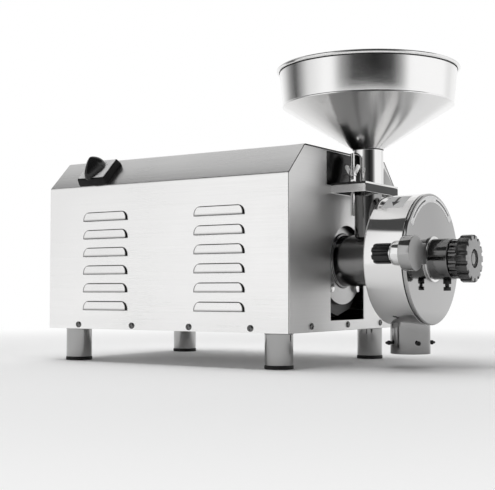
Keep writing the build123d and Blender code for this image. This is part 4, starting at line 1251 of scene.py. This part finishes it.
def makeFloor():
    f = floorPaper
    reach = f["reach"]
    mesh = bpy.data.meshes.new("floor")
    corners = [(x, y, 0) for x, y in rectangle(-reach, -reach, reach, reach)]
    mesh.from_pydata(corners, [], [(0, 1, 2, 3)])
    floor = linked("floor", mesh)
    paper = Finish("floorPaper")
    cloud = paper.noise(f["clouds"], 2.0)
    colour = paper.mix(cloud, grey(f["low"]), grey(f["high"]))
    paper.put(Base_Color=colour, Roughness=f["rough"], Specular_IOR_Level=f["shine"])
    # far from the machine the paper runs into the white backdrop
    far = paper.add("ShaderNodeVectorMath", {"operation": "LENGTH"}, {0: paper.coords()}, "Value")
    glow = paper.add("ShaderNodeEmission", {}, {"Color": (1, 1, 1, 1), "Strength": 1.0})
    own = Field(paper, paper.shader.outputs[0])
    mixed = paper.add("ShaderNodeMixShader", {}, {0: far.ramp(f["fadeFrom"], f["fadeTo"]), 1: own, 2: glow})
    paper.feed(paper.tree.nodes["Material Output"].inputs["Surface"], mixed)
    mesh.materials.append(paper.material)


# a bearing as a share of the full turn
def turnShare(bearing):
    return (bearing + 180) / 360


# a studio drawn on the sky: soft boxes to the left and right, dark room behind the camera
def makeSky():
    world = bpy.data.worlds.new("studio")
    world.use_nodes = True
    bpy.context.scene.world = world
    sky = Nodes(world.node_tree)
    way = sky.add("ShaderNodeTexCoord", out="Generated")
    x, y, z = (sky.add("ShaderNodeSeparateXYZ", {}, {0: way}, axis) for axis in range(3))
    bearing = sky.add("ShaderNodeMath", {"operation": "ARCTAN2"}, {0: x, 1: 0 - y})
    around = bearing * (0.5 / pi) + 0.5
    stops = [(turnShare(angle), tone) for angle, tone in studio["tones"]]
    ring = sky.add("ShaderNodeValToRGB", {"stops": stops}, {"Fac": around})
    edge = around.ramp(*(turnShare(angle) for angle in studio["roofEdge"]))
    roof = sky.mix(edge, grey(studio["roofBehind"]), grey(studio["roof"]))
    back = world.node_tree.nodes["Background"]
    sky.feed(back.inputs["Color"], sky.mix(z.ramp(studio["roofFrom"], studio["roofTo"]), ring, roof))
    sky.feed(back.inputs["Strength"], 1.0)


def makeLamp():
    data = bpy.data.lights.new("overhead", "AREA")
    data.shape = "RECTANGLE"
    data.size, data.size_y = overhead["size"]
    data.energy = overhead["power"]
    lamp = linked("overhead", data)
    lamp.visible_glossy = False
    lamp.location = overhead["place"]
    way = Vector(overhead["aim"]) - Vector(overhead["place"])
    lamp.rotation_euler = way.to_track_quat("-Z", "Y").to_euler()


def makeCamera():
    data = bpy.data.cameras.new("view")
    data.sensor_fit = "HORIZONTAL"
    data.sensor_width = camera["sensor"]
    data.lens = camera["lens"]
    eye = linked("view", data)
    eye.location = at(camera["x"], camera["y"], camera["z"])
    eye.rotation_euler = (radians(90 + camera["lift"]), 0, radians(camera["turn"]))
    bpy.context.scene.camera = eye


makeFloor()
makeSky()
makeLamp()
makeCamera()
bpy.context.scene.view_settings.view_transform = "Standard"
print("stage done")
